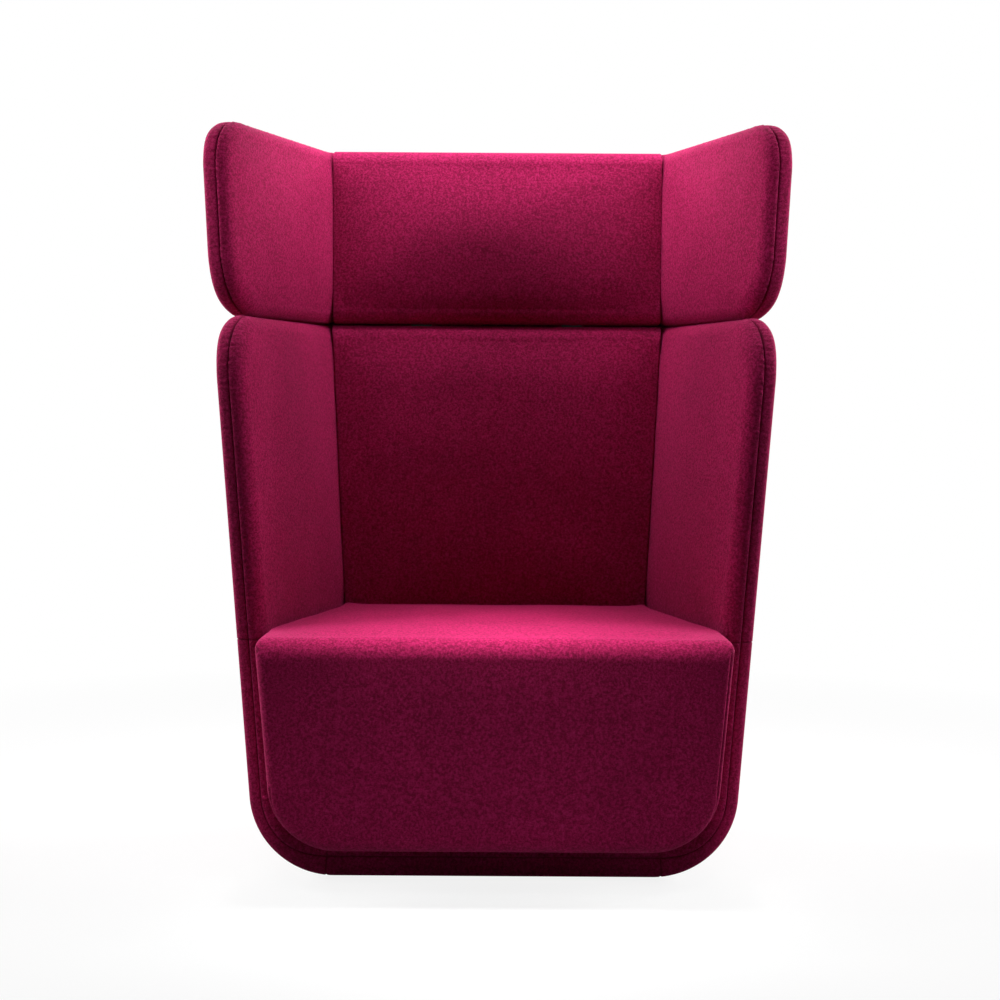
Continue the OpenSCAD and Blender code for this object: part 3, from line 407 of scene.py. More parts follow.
def pad_grid(place, corners, radii, shares, from_n, face_n, edge_r, crown, reach, spacing=2.6,
             face_step=9.0, pucker=0.0, pucker_sides=(), pucker_corners=(), seed=1):
    """Rings of a pad: seam, rounded edge, then the crowned face closing on its middle."""
    line = Outline(corners, radii, spacing)
    way, rows = pad_profile(from_n, face_n, edge_r)
    shares = np.array(shares, float)
    sides = np.array(corners, float)
    after = np.roll(sides, -1, 0) - sides
    inward = np.stack([-after[:, 1], after[:, 0]], -1) / np.linalg.norm(after, axis=1)[:, None]

    def swell(p):
        total = np.ones(len(p))
        for corner, inner, share, far in zip(sides, inward, shares, reach):
            away = (p - corner) @ inner - edge_r * share
            t = np.clip(away / far, 0, 1)
            total *= 1 - (1 - t) ** 2
        return crown * total

    base = line.moved([0, 0, 0, 0])
    s = run_length(base)
    wave = ripple(s, seed) * pucker * line.side_mask(pucker_sides)
    wave = wave * (1 + 2.0 * line.corner_mask(pucker_corners))
    grid, seam = [], []
    for inset, n in rows:
        sewn = abs(n - from_n) < 5
        moves = inset * (np.where(shares > 0.5, 1, 0) if sewn else shares)
        p = line.moved(moves)
        off = abs(n - from_n)
        fade = PUCKER_IN if off < PUCKER_OFF else PUCKER_OUT
        local = wave * math.exp(-((off - PUCKER_OFF) / fade) ** 2) if off > 0.5 else 0 * s
        p = p + outward(p) * np.reshape(local, (-1, 1))
        p = corner_filled(p, sides, moves)
        grid.append(place(p, n + way * swell(p)))
        # Painted shade: a dark line along the seam, fading out away from it.
        seam.append(np.full(len(p), max(0.0, 1 - off / SEAM_SHADE_REACH)))
    edge = line.moved(edge_r * shares)
    middle = edge.mean(0)
    half = min(np.ptp(edge[:, 0]), np.ptp(edge[:, 1])) / 2
    inner = np.linspace(0, 1, max(8, int(round(half / face_step))) + 1)[1:-1]
    for t in np.concatenate([EDGE_SUPPORT / half, inner]):
        p = corner_filled(middle + (edge - middle) * (1 - t), sides, edge_r * shares)
        grid.append(place(p, face_n + way * swell(p)))
        seam.append(np.zeros(len(p)))
    p = middle + (edge - middle) * 0.02
    grid.append(place(p, face_n + way * swell(p)))
    seam.append(np.zeros(len(p)))
    return np.array(grid), np.array(seam), len(rows)


# Cloth: pads are blown up a little, all in one run
plumping = []
CLOTH_SPACING, CLOTH_FRAMES = 11.0, 20
FREE_FROM, FREE_OVER = 6, 4.0           # how many rings before the face a pad gets free, and over how many


def plump_later(grid, freedom, cap, ring_step=2, point_step=4):
    """Notes a pad for the cloth run; where freedom is 1 it may swell by up to cap millimetres."""
    job = {"grid": grid, "freedom": freedom, "cap": cap, "swell": np.zeros_like(grid)}
    job["rings"] = sorted(set(list(range(0, grid.shape[0], ring_step)) + [grid.shape[0] - 1]))
    job["points"] = list(range(0, grid.shape[1], point_step))
    plumping.append(job)
    return job


def face_freedom(grid, face_from):
    """A pad is held along its seam and gets free shortly before its face begins."""
    free = np.clip((np.arange(grid.shape[0]) - (face_from - FREE_FROM)) / FREE_OVER, 0, 1)
    return free[:, None] * np.ones(grid.shape[1])


def near_tree(points):
    tree = kdtree.KDTree(len(points))
    for number, point in enumerate(points):
        tree.insert(point, number)
    tree.balance()
    return tree


def cloth_piece(job, number):
    """An evenly meshed copy of the pad with its own cloth, held wherever the pad is."""
    form = build_mesh("pad_form_%d" % number, job["grid"])
    even = form.modifiers.new("Remesh", "REMESH")
    even.mode = "VOXEL"
    even.voxel_size = CLOTH_SPACING * 0.001
    seen = form.evaluated_get(bpy.context.evaluated_depsgraph_get())
    mesh = bpy.data.meshes.new_from_object(seen)
    mesh.name = "pad_cloth_%d" % number
    remove_piece(form)
    piece = add_piece(mesh.name, mesh)
    flat = job["grid"].reshape(-1, 3)
    free = job["freedom"].reshape(-1)
    facing = grid_normals(job["grid"])
    facing = (facing * job["freedom"][..., None]).reshape(-1, 3)
    tree = near_tree(flat * 0.001)
    held = piece.vertex_groups.new(name="held")
    for vertex in mesh.vertices:
        _, k, _ = tree.find(vertex.co)
        grip = 1 - free[k] if np.dot(vertex.normal, facing[k]) > 0.2 * free[k] else 1.0
        if grip > 0:
            held.add([vertex.index], grip, "REPLACE")
    cloth = piece.modifiers.new("Cloth", "CLOTH")
    cloth.settings.quality = 4
    cloth.settings.mass = 0.3
    cloth.settings.tension_stiffness = 15
    cloth.settings.compression_stiffness = 15
    cloth.settings.shear_stiffness = 8
    cloth.settings.bending_stiffness = 1.0
    cloth.settings.use_pressure = True
    cloth.settings.uniform_pressure_force = 4.0
    cloth.settings.vertex_group_mass = "held"
    cloth.settings.effector_weights.gravity = 0
    cloth.collision_settings.use_collision = False
    cloth.point_cache.frame_start = 1
    cloth.point_cache.frame_end = CLOTH_FRAMES
    job["piece"] = piece


def blurred(values, axis, wrap, width):
    """Values smoothed along one axis with a short bell."""
    weights = np.hanning(2 * width + 3)[1:-1]
    weights /= weights.sum()
    total = np.zeros_like(values)
    for shift, weight in zip(range(-width, width + 1), weights):
        at = np.arange(values.shape[axis]) + shift
        at = at % values.shape[axis] if wrap else np.clip(at, 0, values.shape[axis] - 1)
        total += weight * np.take(values, at, axis)
    return total


def spread(coarse, job, shape):
    """Carries a swell from some rings and points of the pad to all of them."""
    rows = np.array(job["rings"], float)
    cols = np.array(job["points"] + [shape[1]], float)
    wide = np.concatenate([coarse, coarse[:, :1]], 1)
    j = np.arange(shape[1])
    by_point = np.stack([
        np.stack([np.interp(j, cols, wide[r, :, axis]) for axis in range(3)], -1) for r in range(len(rows))])
    i = np.arange(shape[0])
    low = np.clip(np.searchsorted(rows, i, side="right") - 1, 0, len(rows) - 2)
    t = ((i - rows[low]) / (rows[low + 1] - rows[low]))[:, None, None]
    full = by_point[low] * (1 - t) + by_point[low + 1] * t
    return blurred(blurred(full, 1, True, 5), 0, False, 2)


def swell_of(job, graph):
    """How far the cloth moved beside each point of the pad, eased down to the cap."""
    before = np.empty(len(job["piece"].data.vertices) * 3)
    job["piece"].data.vertices.foreach_get("co", before)
    after = np.empty_like(before)
    job["piece"].evaluated_get(graph).data.vertices.foreach_get("co", after)
    before = before.reshape(-1, 3)
    moved = (after.reshape(-1, 3) - before) * 1000
    tree = near_tree(before)
    sampled = job["grid"][np.ix_(job["rings"], job["points"])]
    coarse = np.zeros_like(sampled)
    for i in range(sampled.shape[0]):
        for j in range(sampled.shape[1]):
            found = tree.find_n(sampled[i, j] * 0.001, 6)
            weights = np.array([1 / (away + 0.002) for _, _, away in found])
            coarse[i, j] = weights @ moved[[k for _, k, _ in found]] / weights.sum()
    size = np.percentile(np.linalg.norm(coarse, axis=-1), 99)
    coarse *= min(1.0, job["cap"] / (size + 1e-9))
    normals = grid_normals(job["grid"])
    swell = spread(coarse, job, job["grid"].shape) * job["freedom"][..., None]
    sunk = np.minimum(0, np.einsum("ijk,ijk->ij", swell, normals))
    return swell - normals * sunk[..., None]


def run_cloth():
    """Runs the cloth of every noted pad in the same frames, and keeps how far each point moved."""
    scene = bpy.context.scene
    for number, job in enumerate(plumping):
        cloth_piece(job, number)
    for number in range(1, CLOTH_FRAMES + 1):
        scene.frame_set(number)
    graph = bpy.context.evaluated_depsgraph_get()
    for job in plumping:
        job["swell"] = swell_of(job, graph)
    for job in plumping:
        remove_piece(job["piece"])
    scene.frame_set(1)


# Finishes
def new_group(name, inputs, outputs):
    group = bpy.data.node_groups.new(name, "ShaderNodeTree")
    for label, kind, value in inputs:
        socket = group.interface.new_socket(label, in_out="INPUT", socket_type=kind)
        socket.default_value = value
    for label, kind in outputs:
        group.interface.new_socket(label, in_out="OUTPUT", socket_type=kind)
    return group, group.nodes.new("NodeGroupInput"), group.nodes.new("NodeGroupOutput")


def feed(tree, value, socket):
    """Links a socket to an output, or sets its value."""
    if isinstance(value, bpy.types.NodeSocket):
        tree.links.new(value, socket)
    else:
        socket.default_value = value


def add_node(tree, kind, **inputs):
    """A new node, fed by the names of its inputs, with an underscore for each space."""
    node = tree.nodes.new("ShaderNode" + kind)
    for label, value in inputs.items():
        feed(tree, value, node.inputs[label.replace("_", " ")])
    return node


def object_place(tree):
    """Where a point lies on its own piece, so that a pattern stays put when the piece moves."""
    return tree.nodes.new("ShaderNodeTexCoord").outputs["Object"]


def stretched(tree, where, scale):
    return add_node(tree, "Mapping", Vector=where, Scale=scale).outputs["Vector"]


def noise(tree, where, scale, detail=2.0, rough=0.5):
    node = add_node(tree, "TexNoise", Vector=where, Scale=scale, Detail=detail, Roughness=rough)
    return node.outputs["Fac"]


def ramp(tree, value, low, high, first=0.0, last=1.0):
    node = add_node(tree, "MapRange", Value=value, From_Min=low, From_Max=high, To_Min=first, To_Max=last)
    return node.outputs["Result"]


def math_node(tree, kind, a, b):
    node = tree.nodes.new("ShaderNodeMath")
    node.operation = kind
    feed(tree, a, node.inputs[0])
    feed(tree, b, node.inputs[1])
    return node.outputs["Value"]


def blend_colour(tree, mask, a, b, kind="MIX"):
    node = tree.nodes.new("ShaderNodeMix")
    node.data_type = "RGBA"
    node.blend_type = kind
    for number, value in ((0, mask), (6, a), (7, b)):
        feed(tree, value, node.inputs[number])
    return node.outputs[2]


def melange_group():
    """Milled wool: short fibres of three shades, matted together, with painted shade: a dark line along each
    seam.
    """
    group, given, made = new_group(
        "milled_wool",
        [("Main", "NodeSocketColor", (0.5, 0.01, 0.1, 1)),
         ("Dark fibre", "NodeSocketColor", (0.1, 0.0, 0.02, 1)),
         ("Light fibre", "NodeSocketColor", (0.8, 0.06, 0.3, 1)),
         ("Dark share", "NodeSocketFloat", 0.5),
         ("Light share", "NodeSocketFloat", 0.5)],
        [("Colour", "NodeSocketColor"), ("Height", "NodeSocketFloat")])
    where = object_place(group)
    clump = noise(group, where, 230, 4.0, 0.75)
    fibre_a = noise(group, stretched(group, where, (1.0, 0.45, 2.2)), 400, 3.0, 0.6)
    fibre_b = noise(group, stretched(group, where, (2.1, 1.0, 0.5)), 430, 3.0, 0.6)
    cloud = noise(group, where, 7)
    thin_a = math_node(group, "MULTIPLY", fibre_a, 0.55)
    thin_b = math_node(group, "MULTIPLY", fibre_b, 0.55)
    dark = ramp(group, math_node(group, "ADD", clump, thin_a), 0.86, 0.66)
    dark = math_node(group, "MULTIPLY", dark, given.outputs["Dark share"])
    light = ramp(group, math_node(group, "ADD", clump, thin_b), 0.80, 1.0)
    light = math_node(group, "MULTIPLY", light, given.outputs["Light share"])
    colour = blend_colour(group, dark, given.outputs["Main"], given.outputs["Dark fibre"])
    colour = blend_colour(group, light, colour, given.outputs["Light fibre"])
    shade = ramp(group, cloud, 0.2, 0.8, 0.9, 1.08)
    grey = add_node(group, "CombineColor", Red=shade, Green=shade, Blue=shade)
    colour = blend_colour(group, 1.0, colour, grey.outputs["Color"], "MULTIPLY")
    # Painted shade: the seam attribute darkens the wool towards the dark fibre along each seam.
    seam_shade_attr = group.nodes.new("ShaderNodeAttribute")
    seam_shade_attr.attribute_name = "seam"
    line = math_node(group, "MULTIPLY", seam_shade_attr.outputs["Fac"], 0.85)
    colour = blend_colour(group, line, colour, given.outputs["Dark fibre"])
    half_a = math_node(group, "MULTIPLY", fibre_a, 0.5)
    half_b = math_node(group, "MULTIPLY", fibre_b, 0.5)
    fibres = math_node(group, "ADD", half_a, half_b)
    height = math_node(group, "ADD", math_node(group, "MULTIPLY", clump, 0.6), fibres)
    group.links.new(colour, made.inputs["Colour"])
    group.links.new(height, made.inputs["Height"])
    return group


def grain_group():
    """Long uneven streaks along one direction, for wood and for drawn steel."""
    group, given, made = new_group(
        "long_grain",
        [("Main", "NodeSocketColor", (0.6, 0.45, 0.28, 1)),
         ("Streak", "NodeSocketColor", (0.4, 0.26, 0.14, 1)),
         ("Width", "NodeSocketFloat", 60.0),
         ("Strength", "NodeSocketFloat", 0.6)],
        [("Colour", "NodeSocketColor"), ("Height", "NodeSocketFloat")])
    where = stretched(group, object_place(group), (1.0, 1.0, 0.06))
    streak = add_node(
        group, "TexNoise", Vector=where, Scale=given.outputs["Width"],
        Detail=5.0, Roughness=0.6, Distortion=0.8)
    mask = ramp(group, streak.outputs["Fac"], 0.38, 0.72)
    share = math_node(group, "MULTIPLY", mask, given.outputs["Strength"])
    colour = blend_colour(group, share, given.outputs["Main"], given.outputs["Streak"])
    group.links.new(colour, made.inputs["Colour"])
    group.links.new(mask, made.inputs["Height"])
    return group


def new_material(name, **constants):
    material = bpy.data.materials.new(name)
    material.use_nodes = True
    shader = material.node_tree.nodes["Principled BSDF"]
    for key, value in constants.items():
        shader.inputs[key.replace("_", " ").title().replace("Ior", "IOR")].default_value = value
    return material, material.node_tree, shader


def use_group(tree, group, **values):
    node = tree.nodes.new("ShaderNodeGroup")
    node.node_tree = group
    for key, value in values.items():
        node.inputs[key.replace("_", " ").capitalize()].default_value = value
    return node


def lay_on(tree, shader, made, strength, distance):
    """Gives a shader the colour and the relief that a group made."""
    tree.links.new(made.outputs["Colour"], shader.inputs["Base Color"])
    bump(tree, shader, made.outputs["Height"], strength, distance)


def bump(tree, shader, height, strength, distance):
    node = add_node(tree, "Bump", Height=height, Strength=strength, Distance=distance)
    tree.links.new(node.outputs["Normal"], shader.inputs["Normal"])


def raspberry_wool(group):
    material, tree, shader = new_material(
        "raspberry_wool", Roughness=0.92, Sheen_Weight=0.16, Sheen_Roughness=0.45, Specular_IOR_Level=0.12)
    shader.inputs["Sheen Tint"].default_value = (1.0, 0.09, 0.36, 1)
    wool = use_group(
        tree, group, Main=(0.37, 0.0080, 0.080, 1), Dark_fibre=(0.125, 0.0014, 0.022, 1),
        Light_fibre=(0.60, 0.024, 0.172, 1), Dark_share=0.80, Light_share=0.42)
    lay_on(tree, shader, wool, 0.6, 0.0012)
    return material


def plywood(group):
    material, tree, shader = new_material("birch_plywood", Roughness=0.62)
    grain = use_group(
        tree, group, Main=(0.62, 0.44, 0.26, 1), Streak=(0.46, 0.29, 0.15, 1), Width=75.0, Strength=0.7)
    lay_on(tree, shader, grain, 0.2, 0.0004)
    return material


def planed_pine(group):
    material, tree, shader = new_material("planed_pine", Roughness=0.55)
    grain = use_group(
        tree, group, Main=(0.66, 0.45, 0.24, 1), Streak=(0.42, 0.22, 0.09, 1), Width=38.0, Strength=0.85)
    lay_on(tree, shader, grain, 0.25, 0.0005)
    return material


def cut_foam():
    material, tree, shader = new_material("cut_foam", Roughness=0.95, Specular_IOR_Level=0.1)
    where = object_place(tree)
    cell = add_node(tree, "TexVoronoi", Vector=where, Scale=700)
    cloud = noise(tree, where, 22, 3.0)
    colour = blend_colour(tree, cloud, (0.78, 0.70, 0.50, 1), (0.66, 0.57, 0.36, 1))
    pores = ramp(tree, cell.outputs["Distance"], 0.0, 0.35)
    colour = blend_colour(tree, pores, (0.42, 0.35, 0.21, 1), colour)
    tree.links.new(colour, shader.inputs["Base Color"])
    bump(tree, shader, cell.outputs["Distance"], 0.5, 0.0008)
    return material


def pressed_felt(group):
    material, tree, shader = new_material("pressed_felt", Roughness=0.97, Specular_IOR_Level=0.08)
    wool = use_group(
        tree, group, Main=(0.13, 0.13, 0.14, 1), Dark_fibre=(0.04, 0.04, 0.045, 1),
        Light_fibre=(0.34, 0.34, 0.36, 1), Dark_share=0.6, Light_share=0.6)
    lay_on(tree, shader, wool, 0.6, 0.0014)
    return material


def woven_webbing():
    material, tree, shader = new_material("woven_webbing", Roughness=0.8, Specular_IOR_Level=0.2)
    where = object_place(tree)
    waves = []
    for axis in ("X", "Y"):
        wave = add_node(tree, "TexWave", Vector=where, Scale=130, Distortion=0.6)
        wave.bands_direction = axis
        waves.append(wave.outputs["Fac"])
    weave = math_node(tree, "MULTIPLY", waves[0], waves[1])
    colour = blend_colour(tree, weave, (0.012, 0.012, 0.013, 1), (0.07, 0.07, 0.075, 1))
    tree.links.new(colour, shader.inputs["Base Color"])
    bump(tree, shader, weave, 0.6, 0.0009)
    return material


def black_powder_coat():
    material, tree, shader = new_material("black_powder_coat", Metallic=0.0, Specular_IOR_Level=0.45)
    where = object_place(tree)
    orange_peel = noise(tree, where, 900, 2.0)
    scuff = noise(tree, where, 40, 4.0)
    worn = ramp(tree, scuff, 0.45, 0.75)
    colour = blend_colour(tree, worn, (0.010, 0.010, 0.011, 1), (0.026, 0.026, 0.028, 1))
    tree.links.new(colour, shader.inputs["Base Color"])
    tree.links.new(ramp(tree, scuff, -1.2, 1.8), shader.inputs["Roughness"])
    bump(tree, shader, orange_peel, 0.3, 0.0002)
    return material


def bright_zinc(group):
    material, tree, shader = new_material("bright_zinc", Metallic=1.0)
    grain = use_group(
        tree, group, Main=(0.60, 0.62, 0.64, 1), Streak=(0.44, 0.45, 0.46, 1), Width=900.0, Strength=0.5)
    tree.links.new(ramp(tree, grain.outputs["Height"], -1.0, 2.4), shader.inputs["Roughness"])
    lay_on(tree, shader, grain, 0.15, 0.0001)
    return material


def moulded_nylon():
    material, tree, shader = new_material("moulded_nylon", Specular_IOR_Level=0.4)
    where = object_place(tree)
    spark = noise(tree, where, 1400, 2.0)
    cloud = noise(tree, where, 60, 3.0)
    colour = blend_colour(tree, cloud, (0.010, 0.010, 0.011, 1), (0.020, 0.020, 0.021, 1))
    tree.links.new(colour, shader.inputs["Base Color"])
    tree.links.new(ramp(tree, cloud, -1.5, 1.7), shader.inputs["Roughness"])
    bump(tree, shader, spark, 0.35, 0.0002)
    return material


def make_finishes():
    wool, grain = melange_group(), grain_group()
    return {
        "wool_felt": raspberry_wool(wool), "plywood": plywood(grain), "solid_wood": planed_pine(grain),
        "foam": cut_foam(), "absorber_felt": pressed_felt(wool), "webbing": woven_webbing(),
        "post_steel": black_powder_coat(), "zinc_steel": bright_zinc(grain), "glide_plastic": moulded_nylon(),
    }


def finish_inner_parts(finishes):
    """Every part that keeps its CAD mesh gets the finish of its slot."""
    slots = {part["node"]: part["material_slot"] for part in frame["record"]["subparts"]}
    for name, node in frame["nodes"].items():
        node.data.materials.clear()
        node.data.materials.append(finishes[slots[name]])


def upholster(piece, finishes, nodes, fill):
    """Covers a piece in the wool, and hands over the CAD nodes that it stands for."""
    piece.data.materials.append(finishes["wool_felt"])
    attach(piece, "shell")
    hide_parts(*nodes)


def upholster_pair(name, grid, seam, finishes, nodes, fill):
    """The same piece on the right and, mirrored, on the left."""
    for side, points in (("_right", grid), ("_left", mirrored(grid))):
        upholster(build_mesh(name + side, points, seam), finishes, [node + side for node in nodes], fill)


# The pieces of the shell and the head
GAP_SWELL = 2.3         # how far the outer covers bulge into the joint under the head, to touch there
SHELL_TOP, HEAD_LOW = SHELL_H + GAP_SWELL, HEAD_Z - GAP_SWELL
SIDE_INNER = wall_corners(SIDE, SEAM_H, SHELL_H, rim_face_y(SEAM_H), rim_face_y(SHELL_H))
SIDE_OUTER = wall_corners(SIDE, SEAM_H, SHELL_TOP, rim_face_y(SEAM_H), rim_face_y(SHELL_TOP))
WING_INNER = wall_corners(WING, HEAD_Z, TOTAL_H, WING_FRONT_Y, WING_FRONT_Y)
WING_OUTER = wall_corners(WING, HEAD_LOW, TOTAL_H, WING_FRONT_Y, WING_FRONT_Y)
SIDE_RADII = [SHARP_R, SHARP_R, SHARP_R, ARM_TOP_R]
WING_RADII = [WING_BOTTOM_R, SHARP_R, SHARP_R, WING_TOP_R]
CORNER_N = WALL_T + 0.5
BACK_SIDE_SHARE = 0.26
TOP_SHARE = BACK_TOP_R / INNER_R
BACK_PAD_Z = SEAM_H - 2 * BACK_PAD_T
FIRM, SOFT = 0.95, 0.9  # how full of padding a thin cover and a thick pad are
PLUMP, BACK_PLUMP = 5.0, 6.0    # how far the cloth of a wall's and of a back's inner pad may swell
SOFT_FROM, SOFT_OVER = 3, 8.0   # how many rings before the face it gets uneven, and over how many
ALL_SIDES, FREE_SIDES = (0, 1, 2, 3), (0, 2, 3)
queue = []


def queue_pad(name, nodes, both_sides, plump_cap, fill, **shape):
    """Notes a pad: its rings now, its mesh once the cloth has run."""
    grid, seam, face_from = pad_grid(**shape)
    job = plump_later(grid, face_freedom(grid, face_from), plump_cap) if plump_cap else None
    queue.append((name, nodes, both_sides, grid, seam, job, fill, shape["seed"], face_from))


def queue_wall(name, place, inner_corners, outer_corners, radii, low_shares, reach, corners, seeds):
    """The inner pad and the outer cover of a wing or of a lower side wall, on both sides."""
    queue_pad(name + "_inner_upholstery", [name + "_inner_cover"], True, PLUMP, SOFT,
              place=place, corners=inner_corners, radii=radii, shares=[low_shares[0], 0, 1, 1],
              from_n=BOARD_N, face_n=WALL_T, edge_r=INNER_R, crown=WALL_CROWN, reach=reach,
              pucker=0.9, pucker_sides=FREE_SIDES, pucker_corners=corners, seed=seeds[0])
    queue_pad(name + "_outer_upholstery", [name + "_outer_cover"], True, 0, FIRM,
              place=place, corners=outer_corners, radii=radii, shares=[low_shares[1], 0, 1, 1],
              from_n=OUTER_T, face_n=0.0, edge_r=OUTER_R, crown=OUTER_CROWN, reach=[30] * 4, face_step=14.0,
              pucker=0.7, pucker_sides=FREE_SIDES, pucker_corners=corners, seed=seeds[1])


def queue_walls():
    queue_wall("wing", wing_place, WING_INNER, WING_OUTER, WING_RADII,
               low_shares=(1, 1), reach=[35, 60, 60, 60], corners=(0, 3), seeds=(11, 12))
    queue_wall("side", side_place, SIDE_INNER, SIDE_OUTER, SIDE_RADII,
               low_shares=(0.05, 0.1), reach=[60] * 4, corners=(3,), seeds=(13, 14))


def queue_inner_back(name, wall, z0, z1, low_share, reach, sides, seed):
    """The soft pad of a back between two levels, held between its walls."""
    queue_pad(name + "_inner_upholstery", [name + "_inner_cover"], False, BACK_PLUMP, SOFT,
              place=back_pad_place(wall), corners=back_corners(wall, z0, z1, BACK_PAD_T, CORNER_N),
              radii=[SHARP_R] * 4, shares=[low_share, BACK_SIDE_SHARE, TOP_SHARE, BACK_SIDE_SHARE],
              from_n=BACK_STACK - FIT, face_n=BACK_CROWN, edge_r=INNER_R, crown=HEAD_CROWN, reach=reach,
              pucker=0.25, pucker_sides=sides, seed=seed)


def queue_outer_back(name, wall, z0, z1, radii, pucker, corners, seed):
    """The thin outer cover of a back between two levels."""
    queue_pad(name + "_outer_upholstery", [name + "_outer_cover"], False, 0, FIRM,
              place=back_panel_place, corners=back_corners(wall, z0, z1, BACK_STACK, 0),
              radii=radii, shares=[1] * 4, from_n=BACK_STACK, face_n=BACK_T - OUTER_CROWN,
              edge_r=OUTER_R, crown=OUTER_CROWN, reach=[40] * 4, spacing=3.2, face_step=16.0,
              pucker=pucker, pucker_sides=ALL_SIDES, pucker_corners=corners, seed=seed)


def queue_backs():
    low_r = CORNER_R / cos(SIDE_FLARE)
    queue_inner_back("head", WING, HEAD_Z, TOTAL_H, TOP_SHARE, [70, 110, 165, 110], (0, 2), 21)
    queue_inner_back("back", SIDE, BACK_PAD_Z, SHELL_H, BACK_SIDE_SHARE, [165, 110, 90, 110], (2,), 22)
    queue_outer_back("back", SIDE, FLOOR_GAP, SHELL_TOP, [low_r, low_r, OUTER_R, OUTER_R], 0.3, (0, 1), 23)
    queue_outer_back("head", WING, HEAD_LOW, TOTAL_H, [2 * OUTER_R] * 4, 0.25, ALL_SIDES, 24)


def make_queued(finishes):
    for name, nodes, both_sides, grid, seam, job, fill, seed, face_from in queue:
        if job:
            grid = grid + job["swell"]
        soft = softness(grid, seed, size=150.0, height=0.9)
        soft = soft * np.clip((np.arange(grid.shape[0]) - face_from + SOFT_FROM) / SOFT_OVER, 0, 1)[:, None]
        grid = grid + grid_normals(grid) * soft[..., None]
        if both_sides:
            upholster_pair(name, grid, seam, finishes, nodes, fill)
        else:
            upholster(build_mesh(name, grid, seam), finishes, nodes, fill)


# The U-shaped rim below the cross seam
BEND_TURN = 90 - SIDE_LEAN
BEND_U = wall_u(SIDE, FLOOR_GAP, 0) - CORNER_R * tan(BEND_TURN / 2)
END_DIP = 0.6           # how far the cloth dips at the ends of a band
BAND_STEP = 2.4         # how far apart the sections of a band lie
NOTCH = 22.5            # how far behind the front the padding inside ends on the board
GLIDE_PLACES = ["front_left", "front_right", "rear_left", "rear_right"]
GLIDE_HOLE_R, HOLE_POINTS, HOLE_REACH = 11.0, 32, 25.0  # the holes reach this far past the cover


def bend_section(turn):
    return lambda n: (BEND_U + (CORNER_R - n) * sin(turn), FLOOR_GAP + CORNER_R - (CORNER_R - n) * cos(turn))


def rise_section(z):
    return lambda n: (wall_u(SIDE, z, n), z)


def rim_seam_shift(section, n):
    """Under the seat the rim's seam climbs further from the outer side than on the arms."""
    level = section(1.0)[1] - section(0.0)[1]
    lift = SEAM_IN_LOW + SEAM_IN_BOTTOM * max(0.0, level) ** 6
    return lift * max(0.0, seam_share(n))


def behind_rim(section, e, n):
    """A point at depth n of a section, e behind the front plane of the rim."""
    p, q = section(n + rim_seam_shift(section, n)), section(MID_N)
    v = (rim_face_y(q[1]) - q[0] * sin(SIDE_FLARE)) / cos(SIDE_FLARE) + e
    return turned(SIDE, p[0], v, p[1])


def at_back(section, m, n):
    """A point at depth n of a section, where it meets the back at depth m."""
    p = section(n)
    return turned(SIDE, p[0], (back_line(p[1], m) - p[0] * sin(SIDE_FLARE)) / cos(SIDE_FLARE), p[1])


def rows_between(a, b, count):
    t = np.linspace(0, 1, count + 2)[1:-1, None]
    return list(a + (b - a) * t)


def seam_rows(section, dip, wave, seam_n, way):
    """From the seam out over its dip, with the painted shade of its dark line; way is -1 outwards and 1
    inwards.
    """
    pts, seam_shades = [], []
    for run, seam_dip in SEAM_DIPS:
        pucker = wave * math.exp(-((run - PUCKER_OFF) / PUCKER_IN) ** 2)
        pts.append(behind_rim(section, seam_dip + dip - pucker, seam_n + way * run))
        # Painted shade: a dark line along the seam, fading out away from it.
        seam_shades.append(max(0.0, 1 - run / SEAM_SHADE_REACH))
    return pts, seam_shades


def outer_band_ring(section, dip, wave):
    """Across the rim's outer cover: from the seam round the front edge, to the rear and back inside."""
    pts, seam_shades = seam_rows(section, dip, wave, OUTER_T, -1)
    for a in np.linspace(0, 90, 9):
        pts.append(behind_rim(section, dip + OUTER_R * (1 - cos(a)), dip + OUTER_R * (1 - sin(a))))
    front, rear = pts[-1], at_back(section, BACK_STACK - FIT, dip)
    pts += rows_between(front, rear, 30) + [rear, at_back(section, BACK_STACK - FIT, OUTER_T)]
    pts += rows_between(pts[-1], pts[0], 10)
    seam_shades += [0.0] * (len(pts) - len(seam_shades))
    return np.array(pts), np.array(seam_shades)


def inner_band_ring(section, dip, wave, deep=None):
    """Across the padded inner side of the rim, from the seam to the front edge, over it and along inside."""
    pts, seam_shades = seam_rows(section, dip, wave, BOARD_N, 1)
    for a in np.linspace(0, 90, 12):
        pts.append(behind_rim(section, dip + INNER_R * (1 - cos(a)), WALL_T - dip - INNER_R * (1 - sin(a))))
    if deep:
        rear_in, rear_out = behind_rim(section, deep, WALL_T - dip), behind_rim(section, deep, FOAM_N)
    else:
        pad_m = BACK_PAD_T - FIT
        rear_in, rear_out = at_back(section, pad_m, WALL_T - dip), at_back(section, pad_m, FOAM_N)
    pts += rows_between(pts[-1], rear_in, 24) + [rear_in, rear_out]
    pts += rows_between(rear_out, behind_rim(section, NOTCH, FOAM_N), 6)
    pts += [behind_rim(section, NOTCH, FOAM_N), behind_rim(section, NOTCH, BOARD_N)]
    seam_shades += [0.0] * (len(pts) - len(seam_shades))
    return np.array(pts), np.array(seam_shades)


